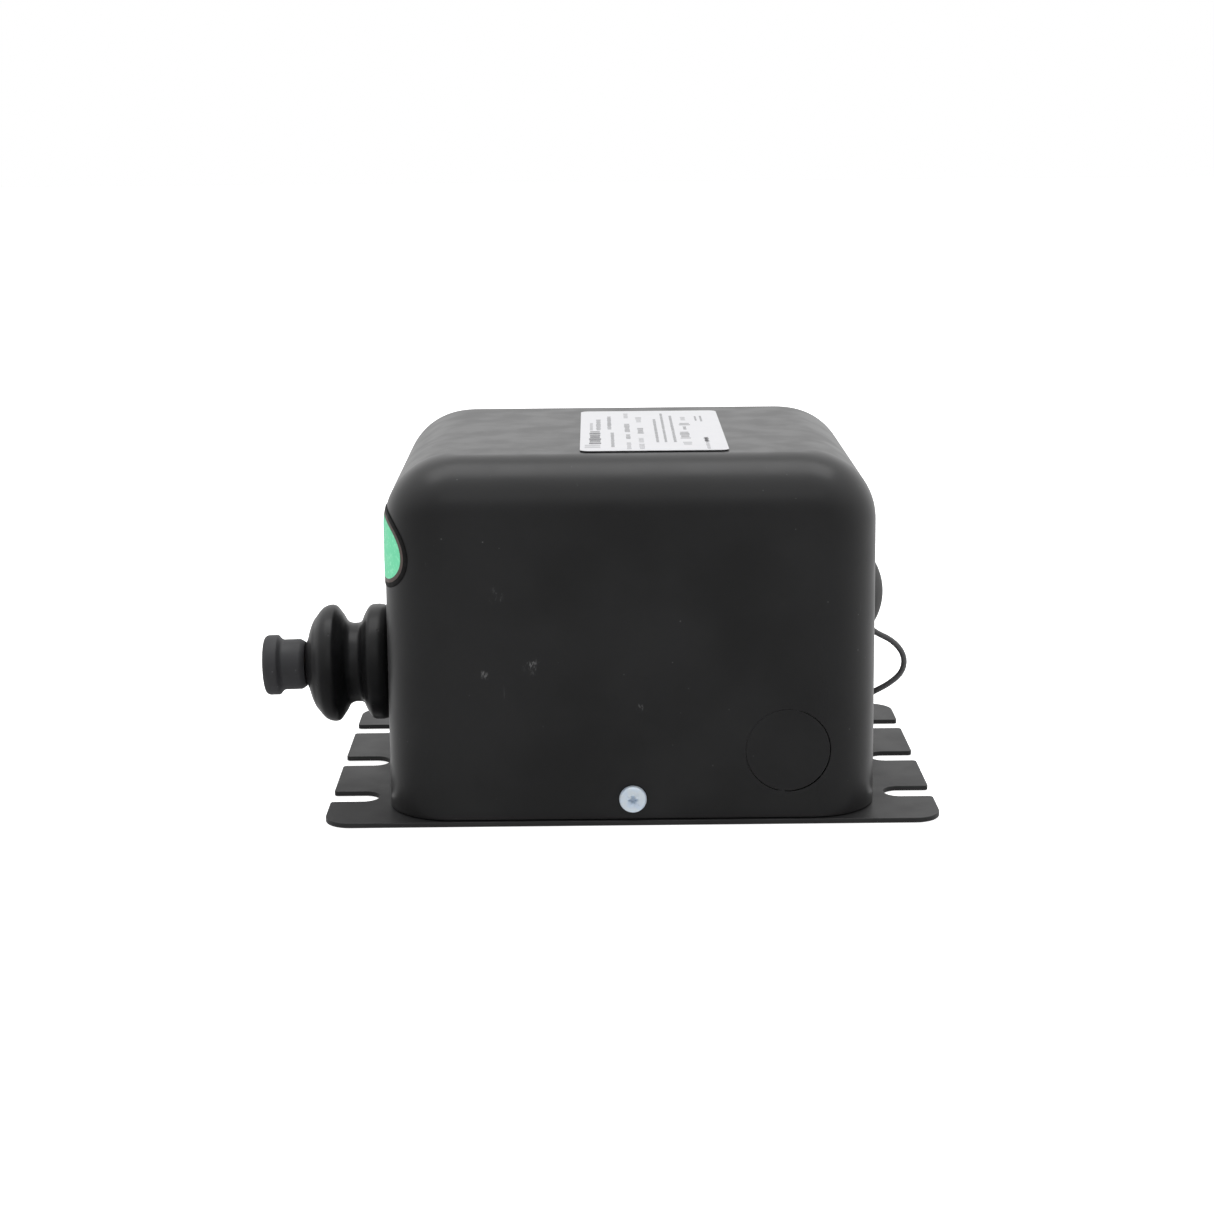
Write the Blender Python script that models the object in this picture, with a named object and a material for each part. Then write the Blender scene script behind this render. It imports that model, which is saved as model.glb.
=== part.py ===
"""Burner ignition transformer: a drawn steel can on a slotted base plate, with one porcelain
high-voltage bushing. Metres, +Z up. The origin is the middle of the base plate's underside, the
screw and knock-out face -Y, and the bushing leaves the left wall towards -X."""

import math

import bmesh
import bpy
from mathutils import Matrix, Vector

MM = 0.001
GAP = 0.3 * MM

# Base plate
BASE_LENGTH = 184 * MM
BASE_DEPTH = 126 * MM
BASE_THICKNESS = 1.5 * MM
BASE_CORNER = 8 * MM
SLOT_WIDTH = 9.8 * MM
SLOT_PITCH = 37 * MM
SLOT_INNER_END = 77.4 * MM
SLOT_MOUTH = 1.2 * MM
TAB_WIDTH = 16 * MM
TAB_HEIGHT = 15 * MM

# Case cover
CASE_WIDTH = 146.8 * MM
CASE_DEPTH = 124 * MM
CASE_TOP = 109 * MM
CASE_WALL = 1.2 * MM
CASE_FOOT = BASE_THICKNESS + GAP
DRAFT = 0.006
CORNER_RADIUS = 19.7 * MM
SIDE_SHOULDER = 21 * MM
FRONT_SHOULDER = 15.5 * MM
ROOF_CORNER = 3 * MM

# Front and rear faces
SCREW_HEIGHT = 8.2 * MM
SCREW_HEAD_RADIUS = 4.05 * MM
SCREW_HEAD_HEIGHT = 2.4 * MM
SCREW_SHANK_RADIUS = 1.9 * MM
SCREW_LENGTH = 8 * MM
SCREW_SIDES = 20
KNOCKOUT_X = 46 * MM
KNOCKOUT_Z = 22.3 * MM
KNOCKOUT_RADIUS = 12.3 * MM

# Labels
LABEL_X = 7.3 * MM
LABEL_Y = -4.7 * MM
LABEL_WIDTH = 44 * MM
LABEL_DEPTH = 79.8 * MM
LABEL_THICKNESS = 0.2 * MM
LABEL_CORNER = 2.5 * MM
BADGE_MIDDLE_UP = 82 * MM
BADGE_MIDDLE_ALONG = 3.5 * MM
BADGE_HALF_LENGTH = 15 * MM
BADGE_HALF_WIDTH = 11.5 * MM
BADGE_TILT = math.radians(20)
BADGE_THICKNESS = 0.4 * MM
BADGE_RINGS = 5
BADGE_SIDES = 36

# High-voltage bushing: distances out along its axis from the left wall
BUSHING_HEIGHT = 35 * MM
BUSHING_DROOP = math.radians(1.5)
BUSHING_BODY_RADIUS = 11.5 * MM
BUSHING_BORE = 2.4 * MM
BUSHING_INNER_END = -14 * MM
BUSHING_TIP = 29.7 * MM
STUD_RADIUS = 2 * MM
STUD_HEAD = 3.5 * MM
STUD_END = 38.6 * MM

# Right wall
PLUG_HEIGHT = 56.5 * MM
PLUG_HOLE = 11.1 * MM
PLUG_RADIUS = 15 * MM
PLUG_DOME = 7.4 * MM
GROMMET_Y = 16 * MM
GROMMET_Z = 41.5 * MM
GROMMET_HOLE = 4 * MM

# Lead
LEAD_RADIUS = 0.95 * MM
LEAD_ROUTE = [
    (75.9, 16.0, 41.5), (78.3, 16.0, 40.7), (81.3, 16.0, 38.6), (86.0, 16.0, 36.0),
    (89.3, 16.0, 32.5), (90.4, 16.0, 28.6), (89.2, 16.0, 24.8), (85.7, 16.2, 21.5),
    (81.2, 17.2, 18.6), (77.8, 21.0, 15.6), (76.2, 28.0, 12.4), (75.8, 38.0, 9.0),
    (75.8, 48.0, 6.2), (75.4, 57.0, 4.4), (73.6, 63.6, 2.9), (70.9, 67.2, 1.5),
    (69.2, 69.6, 1.1),
]
LEAD_SPACING = 3 * MM
COIL_MIDDLE = (58 * MM, 76.5 * MM)
COIL_INNER = 8 * MM
COIL_OUTER = 12 * MM
COIL_HEIGHT = 2 * MM
COPPER_RADIUS = 0.5 * MM
HV_LEAD_RADIUS = 1.2 * MM

# Core and windings: laminations lie in the XZ plane and stack along Y
CORE_HALF_LENGTH = 44 * MM
CORE_BOTTOM = 20 * MM
CORE_TOP = 96 * MM
CORE_HALF_STACK = 17 * MM
YOKE = 13 * MM
OUTER_LEG = 13 * MM
CENTRE_LEG = 24 * MM
SHUNT_THICKNESS = 4 * MM
BOBBIN_WALL = 1.2 * MM
BOLT_RADIUS = 2.5 * MM
BOLT_X = 37.5 * MM
BOLT_Z = CORE_BOTTOM + 6.5 * MM
BRACKET_THICKNESS = 2 * MM


def clear_scene():
    for thing in list(bpy.data.objects):
        bpy.data.objects.remove(thing, do_unlink=True)


def material(name, colour, roughness, metallic=0.0):
    made = bpy.data.materials.new(name)
    made.use_nodes = True
    shader = made.node_tree.nodes["Principled BSDF"]
    shader.inputs["Base Color"].default_value = (*colour, 1)
    shader.inputs["Roughness"].default_value = roughness
    shader.inputs["Metallic"].default_value = metallic
    return made


def place(name, bm, finish, sharp=35):
    """Turns a closed bmesh into a named object with smooth round sides."""
    bmesh.ops.recalc_face_normals(bm, faces=bm.faces)
    mesh = bpy.data.meshes.new(name)
    bm.to_mesh(mesh)
    bm.free()
    mesh.shade_smooth()
    mesh.set_sharp_from_angle(angle=math.radians(sharp))
    thing = bpy.data.objects.new(name, mesh)
    thing.data.materials.append(finish)
    bpy.context.scene.collection.objects.link(thing)
    return thing


def skin(bm, rings, closed=False):
    """Joins rings of points with quads; open ends are capped."""
    loops = [[bm.verts.new(point) for point in ring] for ring in rings]
    pairs = list(zip(loops, loops[1:]))
    if closed:
        pairs.append((loops[-1], loops[0]))
    for low, high in pairs:
        for i in range(len(low)):
            j = (i + 1) % len(low)
            bm.faces.new((low[i], low[j], high[j], high[i]))
    if not closed:
        bm.faces.new(loops[0][::-1])
        bm.faces.new(loops[-1])


def block(name, x, y, z, finish):
    """A rectangular solid between pairs of coordinates."""
    bm = bmesh.new()
    corners = [(x[0], y[0]), (x[1], y[0]), (x[1], y[1]), (x[0], y[1])]
    skin(bm, [[(a, b, level) for a, b in corners] for level in z])
    return place(name, bm, finish)


def arc(middle, radius, start, end, steps):
    """Points on an arc in the plane, angles in degrees."""
    points = []
    for i in range(steps + 1):
        angle = math.radians(start + (end - start) * i / steps)
        points.append((middle[0] + radius * math.cos(angle), middle[1] + radius * math.sin(angle)))
    return points


def rounded_rectangle(half_x, half_y, radius, steps=8):
    """Outline, anticlockwise from the upper end of its right side."""
    points = []
    for quarter, (sx, sy) in enumerate([(1, 1), (-1, 1), (-1, -1), (1, -1)]):
        middle = (sx * (half_x - radius), sy * (half_y - radius))
        points += arc(middle, radius, 90 * quarter, 90 * quarter + 90, steps)
    return points


def prism(name, outline, z, finish, matrix=None):
    """Extrudes an outline between two heights."""
    bm = bmesh.new()
    skin(bm, [[(a, b, level) for a, b in outline] for level in z])
    if matrix:
        bm.transform(matrix)
    return place(name, bm, finish)


def turned(name, profile, finish, matrix, sides=40, sharp=35):
    """Spins a closed profile of (radius, distance) about +Z. Points on the axis become poles."""
    bm = bmesh.new()
    rings = []
    for radius, level in profile:
        if radius == 0:
            rings.append([bm.verts.new((0, 0, level))])
            continue
        ring = []
        for i in range(sides):
            angle = math.tau * i / sides
            ring.append(bm.verts.new((radius * math.cos(angle), radius * math.sin(angle), level)))
        rings.append(ring)
    pairs = list(zip(rings, rings[1:]))
    if profile[0][0] or profile[-1][0]:
        pairs.append((rings[-1], rings[0]))
    for low, high in pairs:
        for i in range(sides):
            j = (i + 1) % sides
            if len(low) == 1:
                bm.faces.new((low[0], high[j], high[i]))
            elif len(high) == 1:
                bm.faces.new((low[i], low[j], high[0]))
            else:
                bm.faces.new((low[i], low[j], high[j], high[i]))
    bm.transform(matrix)
    return place(name, bm, finish, sharp)


def cut(target, cutter):
    """Subtracts a hidden cutter from a piece."""
    cutter.hide_render = True
    cutter.display_type = "WIRE"
    boolean = target.modifiers.new("cut_" + cutter.name, "BOOLEAN")
    boolean.operation = "DIFFERENCE"
    boolean.solver = "EXACT"
    boolean.object = cutter


def axis_matrix(point, direction):
    """Maps local +Z to a direction that starts at a point."""
    turn = Vector((0, 0, 1)).rotation_difference(Vector(direction)).to_matrix().to_4x4()
    return Matrix.Translation(point) @ turn


def drill(name, radius, start, end, finish, matrix, sides=32):
    """A cutter for a round hole along a matrix's axis."""
    return prism(name, arc((0, 0), radius, 0, 360 * (1 - 1 / sides), sides - 1), (start, end),
                 finish, matrix)


def smooth_route(points, spacing):
    """Evenly spaced points on a smooth curve through hand-set points."""
    route = [Vector(p) for p in points]
    route = [2 * route[0] - route[1]] + route + [2 * route[-1] - route[-2]]
    fine = []
    for a, b, c, d in zip(route, route[1:], route[2:], route[3:]):
        for i in range(12):
            t = i / 12
            fine.append(0.5 * (2 * b + (c - a) * t + (2 * a - 5 * b + 4 * c - d) * t ** 2
                               + (3 * b - a - 3 * c + d) * t ** 3))
    fine.append(route[-2])
    total = sum((q - p).length for p, q in zip(fine, fine[1:]))
    count = max(2, round(total / spacing))
    step = total / count
    even, walked = [fine[0]], 0.0
    for p, q in zip(fine, fine[1:]):
        length = (q - p).length
        while len(even) < count and walked + length >= step * len(even):
            even.append(p.lerp(q, (step * len(even) - walked) / length))
        walked += length
    return even + [fine[-1]]


def tube(name, points, radius, finish, spacing):
    """A round tube along a smooth route."""
    line = bpy.data.curves.new(name, "CURVE")
    line.dimensions = "3D"
    line.bevel_depth = radius
    line.bevel_resolution = 2
    line.use_fill_caps = True
    route = smooth_route(points, spacing)
    spline = line.splines.new("POLY")
    spline.points.add(len(route) - 1)
    for point, place_at in zip(spline.points, route):
        point.co = (*place_at, 1)
    thing = bpy.data.objects.new(name, line)
    thing.data.materials.append(finish)
    bpy.context.scene.collection.objects.link(thing)
    return thing


def turned_in(height, inset, shoulder):
    """How far a wall has turned in at a height, on the radius between it and the roof."""
    rise = max(0.0, height - (CASE_TOP - shoulder))
    reach = shoulder - inset
    return reach - math.sqrt(max(0.0, reach ** 2 - rise ** 2))


def can_section(height, inset=0.0):
    """Half width, half depth and corner radius of the can at a height, moved in by inset."""
    side = turned_in(height, inset, SIDE_SHOULDER)
    half_x = wall_half_width(height) - inset - side
    half_y = wall_half_depth(height) - inset - turned_in(height, inset, FRONT_SHOULDER)
    upright = 1 - side / (SIDE_SHOULDER - inset)
    return half_x, half_y, ROOF_CORNER + (CORNER_RADIUS - inset - ROOF_CORNER) * upright


def can_rings(foot, inset, steps):
    """Rings of the can from its foot to its roof."""
    heights = [foot]
    for i in range(steps + 1):
        rise = (SIDE_SHOULDER - inset) * math.sin(math.pi / 2 * i / steps)
        heights.append(CASE_TOP - SIDE_SHOULDER + rise)
    return [[(a, b, height) for a, b in rounded_rectangle(*can_section(height, inset))]
            for height in heights]


def wall_half_width(height):
    return CASE_WIDTH / 2 - DRAFT * height


def wall_half_depth(height):
    return CASE_DEPTH / 2 - DRAFT * height


def base_outline():
    """The plate's outline with three open slots at each end."""
    half_x, half_y, half_slot = BASE_LENGTH / 2, BASE_DEPTH / 2, SLOT_WIDTH / 2
    side = arc((half_x - BASE_CORNER, BASE_CORNER - half_y), BASE_CORNER, -90, 0, 6)
    for middle in (-SLOT_PITCH, 0, SLOT_PITCH):
        mouth_x = half_x - SLOT_MOUTH
        side += arc((mouth_x, middle - half_slot - SLOT_MOUTH), SLOT_MOUTH, 0, 90, 2)
        side += arc((SLOT_INNER_END + half_slot, middle), half_slot, 270, 90, 10)
        side += arc((mouth_x, middle + half_slot + SLOT_MOUTH), SLOT_MOUTH, -90, 0, 2)
    side += arc((half_x - BASE_CORNER, half_y - BASE_CORNER), BASE_CORNER, 0, 90, 6)
    return side + [(-a, -b) for a, b in side]


def make_base(steel, cutter_finish):
    base = prism("base_plate", base_outline(), (0, BASE_THICKNESS), steel)
    inner = wall_half_depth(SCREW_HEIGHT) - CASE_WALL - GAP
    for side, name in ((-1, "front"), (1, "rear")):
        outline = rounded_rectangle(TAB_WIDTH / 2, TAB_HEIGHT / 2, 3 * MM, 4)
        upright = Matrix.Translation((0, side * inner, BASE_THICKNESS / 2 + TAB_HEIGHT / 2))
        upright = upright @ Matrix.Rotation(math.radians(90 * side), 4, "X")
        tab = prism("tab_" + name, outline, (0, BASE_THICKNESS), cutter_finish, upright)
        tab.hide_render = True
        tab.display_type = "WIRE"
        weld = base.modifiers.new("bent_up_" + name, "BOOLEAN")
        weld.operation = "UNION"
        weld.solver = "EXACT"
        weld.object = tab
    hole_line = axis_matrix((0, 0, SCREW_HEIGHT), (0, -1, 0))
    cut(base, drill("tab_holes", SCREW_SHANK_RADIUS + GAP, -BASE_DEPTH, BASE_DEPTH,
                    cutter_finish, hole_line, 16))
    return base


def make_case(steel, cutter_finish, bushing_line):
    bm = bmesh.new()
    loops = [[bm.verts.new(p) for p in ring] for ring in can_rings(CASE_FOOT, 0, 12)]
    inside = [[bm.verts.new(p) for p in ring] for ring in can_rings(CASE_FOOT, CASE_WALL, 9)]
    for stack, flip in ((loops, False), (inside, True)):
        for low, high in zip(stack, stack[1:]):
            for i in range(len(low)):
                j = (i + 1) % len(low)
                quad = (low[i], low[j], high[j], high[i])
                bm.faces.new(quad[::-1] if flip else quad)
    bm.faces.new(loops[-1])
    bm.faces.new(inside[-1][::-1])
    for i in range(len(loops[0])):
        j = (i + 1) % len(loops[0])
        bm.faces.new((loops[0][j], loops[0][i], inside[0][i], inside[0][j]))
    case = place("case_cover", bm, steel, 30)
    through = axis_matrix((0, 0, SCREW_HEIGHT), (0, -1, 0))
    cut(case, drill("screw_holes", SCREW_SHANK_RADIUS + GAP, -CASE_DEPTH, CASE_DEPTH,
                    cutter_finish, through, 16))
    front = axis_matrix((KNOCKOUT_X, 0, KNOCKOUT_Z), (0, -1, 0))
    cut(case, drill("knockout_hole", KNOCKOUT_RADIUS + GAP, CASE_DEPTH / 4, CASE_DEPTH,
                    cutter_finish, front, 48))
    cut(case, drill("bushing_hole", BUSHING_BODY_RADIUS + 0.8 * MM, -10 * MM, 10 * MM,
                    cutter_finish, bushing_line))
    right = axis_matrix((0, 0, PLUG_HEIGHT), (1, 0, 0))
    cut(case, drill("plug_hole", PLUG_HOLE, CASE_WIDTH / 4, CASE_WIDTH, cutter_finish, right))
    right = axis_matrix((0, GROMMET_Y, GROMMET_Z), (1, 0, 0))
    cut(case, drill("grommet_hole", GROMMET_HOLE, CASE_WIDTH / 4, CASE_WIDTH, cutter_finish,
                    right, 20))
    return case


def make_knockout(steel):
    """The blank that fills the front knock-out, set in the plane of the leaning wall."""
    outer = wall_half_depth(KNOCKOUT_Z)
    line = Matrix.Translation((KNOCKOUT_X, -outer, KNOCKOUT_Z))
    line = line @ Matrix.Rotation(math.radians(90) - DRAFT, 4, "X")
    outline = arc((0, 0), KNOCKOUT_RADIUS, 0, 352.5, 47)
    return prism("knockout_disc", outline, (-CASE_WALL, 0), steel, line)


def make_screw(name, side, zinc, cutter_finish):
    """A pan-head screw with a cross recess, through the case wall into a base tab."""
    seat = wall_half_depth(SCREW_HEIGHT) + GAP
    line = axis_matrix((0, side * seat, SCREW_HEIGHT), (0, side, 0))
    head, rim, tall = SCREW_HEAD_RADIUS, 0.35 * MM, SCREW_HEAD_HEIGHT
    profile = [(0, -SCREW_LENGTH), (SCREW_SHANK_RADIUS * 0.6, -SCREW_LENGTH),
               (SCREW_SHANK_RADIUS, -SCREW_LENGTH + 1.2 * MM), (SCREW_SHANK_RADIUS, 0), (head, 0),
               (head, tall - 4 * rim), (head - rim, tall - 2 * rim), (head * 0.7, tall - rim / 2),
               (0, tall)]
    screw = turned(name, profile, zinc, line, SCREW_SIDES)
    for turn in (45, 135):
        bm = bmesh.new()
        bar = [(-2.1 * MM, -0.45 * MM), (2.1 * MM, -0.45 * MM), (2.1 * MM, 0.45 * MM),
               (-2.1 * MM, 0.45 * MM)]
        floor = [(0.35 * a, b) for a, b in bar]
        skin(bm, [[(*p, tall - 1.6 * MM) for p in floor], [(*p, tall + 0.4 * MM) for p in bar]])
        bm.transform(line @ Matrix.Rotation(math.radians(turn), 4, "Z"))
        cut(screw, place(name + "_recess_" + str(turn), bm, cutter_finish))
    return screw


def make_rating_label(paper):
    outline = [(a + LABEL_X, b + LABEL_Y) for a, b in
               rounded_rectangle(LABEL_WIDTH / 2, LABEL_DEPTH / 2, LABEL_CORNER, 4)]
    low = CASE_TOP + GAP
    return prism("rating_label", outline, (low, low + LABEL_THICKNESS), paper)


def case_side(along, up, out):
    """A point near the front left edge: along runs round the corner from the left wall, and up
    runs up the wall and over its shoulder."""
    shoulder = CASE_TOP - SIDE_SHOULDER
    lean = max(0.0, (up - shoulder) / SIDE_SHOULDER)
    height = min(up, shoulder) + SIDE_SHOULDER * math.sin(lean)
    half_x, half_y, corner = can_section(height)
    angle = max(0.0, along / CORNER_RADIUS)
    reach = corner + out * math.cos(lean)
    return (corner - half_x - reach * math.cos(angle),
            corner - half_y - reach * math.sin(angle) - min(0.0, along),
            height + out * math.sin(lean))


def badge_point(long, wide, out):
    """A point of the badge, whose long axis rises to the left."""
    lean_long, lean_wide = math.cos(BADGE_TILT), math.sin(BADGE_TILT)
    return case_side(BADGE_MIDDLE_ALONG - long * lean_long + wide * lean_wide,
                     BADGE_MIDDLE_UP + long * lean_wide + wide * lean_long, out)


def make_corner_badge(film):
    """An oval badge, wrapped round the front left edge."""
    bm = bmesh.new()
    levels = []
    for out in (GAP, GAP + BADGE_THICKNESS):
        rings = []
        for step in range(1, BADGE_RINGS + 1):
            ring = []
            for i in range(BADGE_SIDES):
                angle = math.tau * i / BADGE_SIDES
                long = step / BADGE_RINGS * BADGE_HALF_LENGTH * math.cos(angle)
                wide = step / BADGE_RINGS * BADGE_HALF_WIDTH * math.sin(angle)
                ring.append(bm.verts.new(badge_point(long, wide, out)))
            rings.append(ring)
        levels.append((bm.verts.new(badge_point(0, 0, out)), rings))
    for hub, rings in levels:
        for i in range(BADGE_SIDES):
            j = (i + 1) % BADGE_SIDES
            bm.faces.new((hub, rings[0][i], rings[0][j]))
            for low, high in zip(rings, rings[1:]):
                bm.faces.new((low[i], high[i], high[j], low[j]))
    under, over = levels[0][1][-1], levels[1][1][-1]
    for i in range(BADGE_SIDES):
        j = (i + 1) % BADGE_SIDES
        bm.faces.new((under[i], over[i], over[j], under[j]))
    return place("corner_badge", bm, film, 50)


def make_bushing(line, porcelain, rubber, brass, plastic, bakelite):
    """The two-shed insulator and everything on its axis."""
    sheds = in_mm([
        (15.8, 2.6), (17.4, 3.1), (18.1, 4.2), (18.45, 5.6), (18.45, 7.2), (18.2, 8.6),
        (17.2, 9.6), (15.5, 10.6), (13.5, 11.5), (12.8, 12.3), (12.65, 13.2), (12.65, 14.4),
        (12.9, 15.4), (13.6, 16.4), (15.5, 17.5), (16.9, 18.5), (18.2, 19.5), (18.65, 20.5),
        (18.65, 21.6), (18.4, 22.6), (17.8, 23.8), (16.7, 24.9), (15.4, 25.9), (14.1, 26.9),
        (11.9, 27.9), (9.0, 28.8), (7.4, 29.4), (6.8, 29.7)])
    profile = [(BUSHING_BORE, BUSHING_TIP), (BUSHING_BORE, BUSHING_INNER_END),
               (BUSHING_BODY_RADIUS - 2.5 * MM, BUSHING_INNER_END),
               (BUSHING_BODY_RADIUS, BUSHING_INNER_END + 2 * MM),
               (BUSHING_BODY_RADIUS, sheds[0][1])]
    turned("hv_bushing", profile + sheds, porcelain, line, 48, 40)
    turned("bushing_gasket", ring_profile(BUSHING_BODY_RADIUS + GAP, 15.8 * MM, 0.7 * MM, 2.3 * MM),
           rubber, line, 40)
    nut_top = -CASE_WALL - 0.8 * MM
    turned("bushing_ring_nut", ring_profile(BUSHING_BODY_RADIUS + GAP, 15.5 * MM,
                                            nut_top - 4.5 * MM, nut_top), plastic, line, 32)
    head = BUSHING_INNER_END - GAP
    stud = [(0, head - STUD_HEAD), (3.4 * MM, head - STUD_HEAD), (3.4 * MM, head),
            (STUD_RADIUS, head), (STUD_RADIUS, STUD_END - 0.8 * MM),
            (STUD_RADIUS * 0.7, STUD_END), (0, STUD_END)]
    turned("hv_stud", stud, brass, line, 20)
    hexagon_nut("terminal_nut", STUD_RADIUS, 4 * MM, 30 * MM, 33.2 * MM, brass, line)
    cap = in_mm([
        (0, 40.4), (4.4, 40.4), (4.4, 30.0), (7.1, 30.0), (7.9, 31.3), (8.05, 31.8), (8.05, 36.8),
        (8.2, 37.3), (8.5, 37.7), (9.2, 38.3), (9.5, 38.6), (9.6, 38.9), (9.6, 41.4), (9.45, 42.2),
        (9.0, 42.8), (8.2, 43.1), (4.0, 43.25), (0, 43.3)])
    turned("hv_terminal_cap", cap, bakelite, line, 40, 30)


def in_mm(profile):
    return [(radius * MM, level * MM) for radius, level in profile]


def ring_profile(inner, outer, low, high):
    return [(inner, low), (outer, low), (outer, high), (inner, high)]


def hexagon_nut(name, thread, corner, low, high, finish, line):
    """A nut whose six-sided bore clears a round thread."""
    bore = (thread + GAP) / math.cos(math.radians(30))
    turned(name, ring_profile(bore, corner, low, high), finish, line, 6)


def make_plug(plastic):
    """A domed plug snapped into the right wall's round opening."""
    line = axis_matrix((wall_half_width(PLUG_HEIGHT), 0, PLUG_HEIGHT), (1, 0, 0))
    sphere = (PLUG_RADIUS ** 2 + PLUG_DOME ** 2) / (2 * PLUG_DOME)
    spread = math.asin(PLUG_RADIUS / sphere)
    dome = []
    for i in range(8):
        angle = spread * (1 - i / 7)
        dome.append((sphere * math.sin(angle), GAP + PLUG_DOME - sphere * (1 - math.cos(angle))))
    leg = PLUG_HOLE - GAP
    skirt = [(0, GAP + 1.6 * MM), (leg - 1.6 * MM, GAP + 1.6 * MM), (leg - 1.6 * MM, -5.5 * MM),
             (leg - 0.4 * MM, -5.5 * MM), (leg, -4.6 * MM), (leg, GAP)]
    rim = [(PLUG_RADIUS, GAP + 0.5 * MM)]
    profile = skirt + [(PLUG_RADIUS, GAP)] + rim + [(r, max(h, GAP + 0.8 * MM)) for r, h in dome[1:-1]]
    profile += [(0, GAP + PLUG_DOME)]
    turned("hole_plug", profile, plastic, line, 40)


def make_grommet(rubber):
    line = axis_matrix((wall_half_width(GROMMET_Z), GROMMET_Y, GROMMET_Z), (1, 0, 0))
    bore, neck = LEAD_RADIUS + GAP, GROMMET_HOLE - GAP
    profile = [(bore, -3.6 * MM), (5.4 * MM, -3.6 * MM), (5.4 * MM, -CASE_WALL - GAP),
               (neck, -CASE_WALL - GAP), (neck, GAP), (6 * MM, GAP), (5.8 * MM, 1.4 * MM),
               (4.6 * MM, 2.3 * MM), (bore, 2.3 * MM)]
    turned("lead_grommet", profile, rubber, line, 24)


def make_core(steel, cutter_finish):
    """Shell core: an E stack closed by an I stack, bolted through its lower corners."""
    window_end = CORE_HALF_LENGTH - YOKE
    leg_low = (CORE_BOTTOM + CORE_TOP - CENTRE_LEG) / 2
    leg_high = leg_low + CENTRE_LEG
    outline = [(-CORE_HALF_LENGTH, CORE_BOTTOM), (window_end, CORE_BOTTOM),
               (window_end, CORE_BOTTOM + OUTER_LEG), (-window_end, CORE_BOTTOM + OUTER_LEG),
               (-window_end, leg_low), (window_end, leg_low), (window_end, leg_high),
               (-window_end, leg_high), (-window_end, CORE_TOP - OUTER_LEG),
               (window_end, CORE_TOP - OUTER_LEG), (window_end, CORE_TOP),
               (-CORE_HALF_LENGTH, CORE_TOP)]
    upright = Matrix.Rotation(math.radians(90), 4, "X")
    stack = (-CORE_HALF_STACK, CORE_HALF_STACK)
    e_stack = prism("core_e_stack", outline, stack, steel, upright)
    i_stack = block("core_i_stack", (window_end + GAP, CORE_HALF_LENGTH), stack,
                    (CORE_BOTTOM, CORE_TOP), steel)
    for piece, x in ((e_stack, -BOLT_X), (i_stack, BOLT_X)):
        line = axis_matrix((x, 0, BOLT_Z), (0, 1, 0))
        cut(piece, drill(piece.name + "_hole", BOLT_RADIUS + GAP, -30 * MM, 30 * MM,
                         cutter_finish, line, 16))
    for name, low, high in (("lower", CORE_BOTTOM + OUTER_LEG, leg_low),
                            ("upper", leg_high, CORE_TOP - OUTER_LEG)):
        block("magnetic_shunt_" + name, (-SHUNT_THICKNESS / 2, SHUNT_THICKNESS / 2),
              (-CORE_HALF_STACK + 2 * MM, CORE_HALF_STACK - 2 * MM), (low + GAP, high - GAP), steel)


def frame_ring(bm, x, inner, outer):
    """A rectangular ring round the centre leg, between two places along X."""
    middle = (CORE_BOTTOM + CORE_TOP) / 2
    rings = []
    for level, (half_y, half_z) in ((x[0], inner), (x[0], outer), (x[1], outer), (x[1], inner)):
        rings.append([(level, -half_y, middle - half_z), (level, half_y, middle - half_z),
                      (level, half_y, middle + half_z), (level, -half_y, middle + half_z)])
    skin(bm, rings, closed=True)


def make_winding(name, start, end, nylon, wire):
    """A bobbin on the centre leg and the winding between its flanges."""
    hole = (CORE_HALF_STACK + GAP, CENTRE_LEG / 2 + GAP)
    window = (CORE_TOP - CORE_BOTTOM - CENTRE_LEG) / 2 - OUTER_LEG
    barrel = (hole[0] + BOBBIN_WALL, hole[1] + BOBBIN_WALL)
    flange = (hole[0] + window - 2 * GAP, hole[1] + window - 2 * GAP)
    middle = (CORE_BOTTOM + CORE_TOP) / 2
    bm = bmesh.new()
    rings = []
    for x, (half_y, half_z) in ((start, hole), (start, flange), (start + BOBBIN_WALL, flange),
                                (start + BOBBIN_WALL, barrel), (end - BOBBIN_WALL, barrel),
                                (end - BOBBIN_WALL, flange), (end, flange), (end, hole)):
        rings.append([(x, -half_y, middle - half_z), (x, half_y, middle - half_z),
                      (x, half_y, middle + half_z), (x, -half_y, middle + half_z)])
    skin(bm, rings, closed=True)
    place(name + "_bobbin", bm, nylon)
    bm = bmesh.new()
    low, high = start + BOBBIN_WALL + GAP, end - BOBBIN_WALL - GAP
    frame_ring(bm, (low, high), (barrel[0] + GAP, barrel[1] + GAP),
               (flange[0] - 1 * MM, flange[1] - 1 * MM))
    place(name + "_winding", bm, wire)


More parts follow.
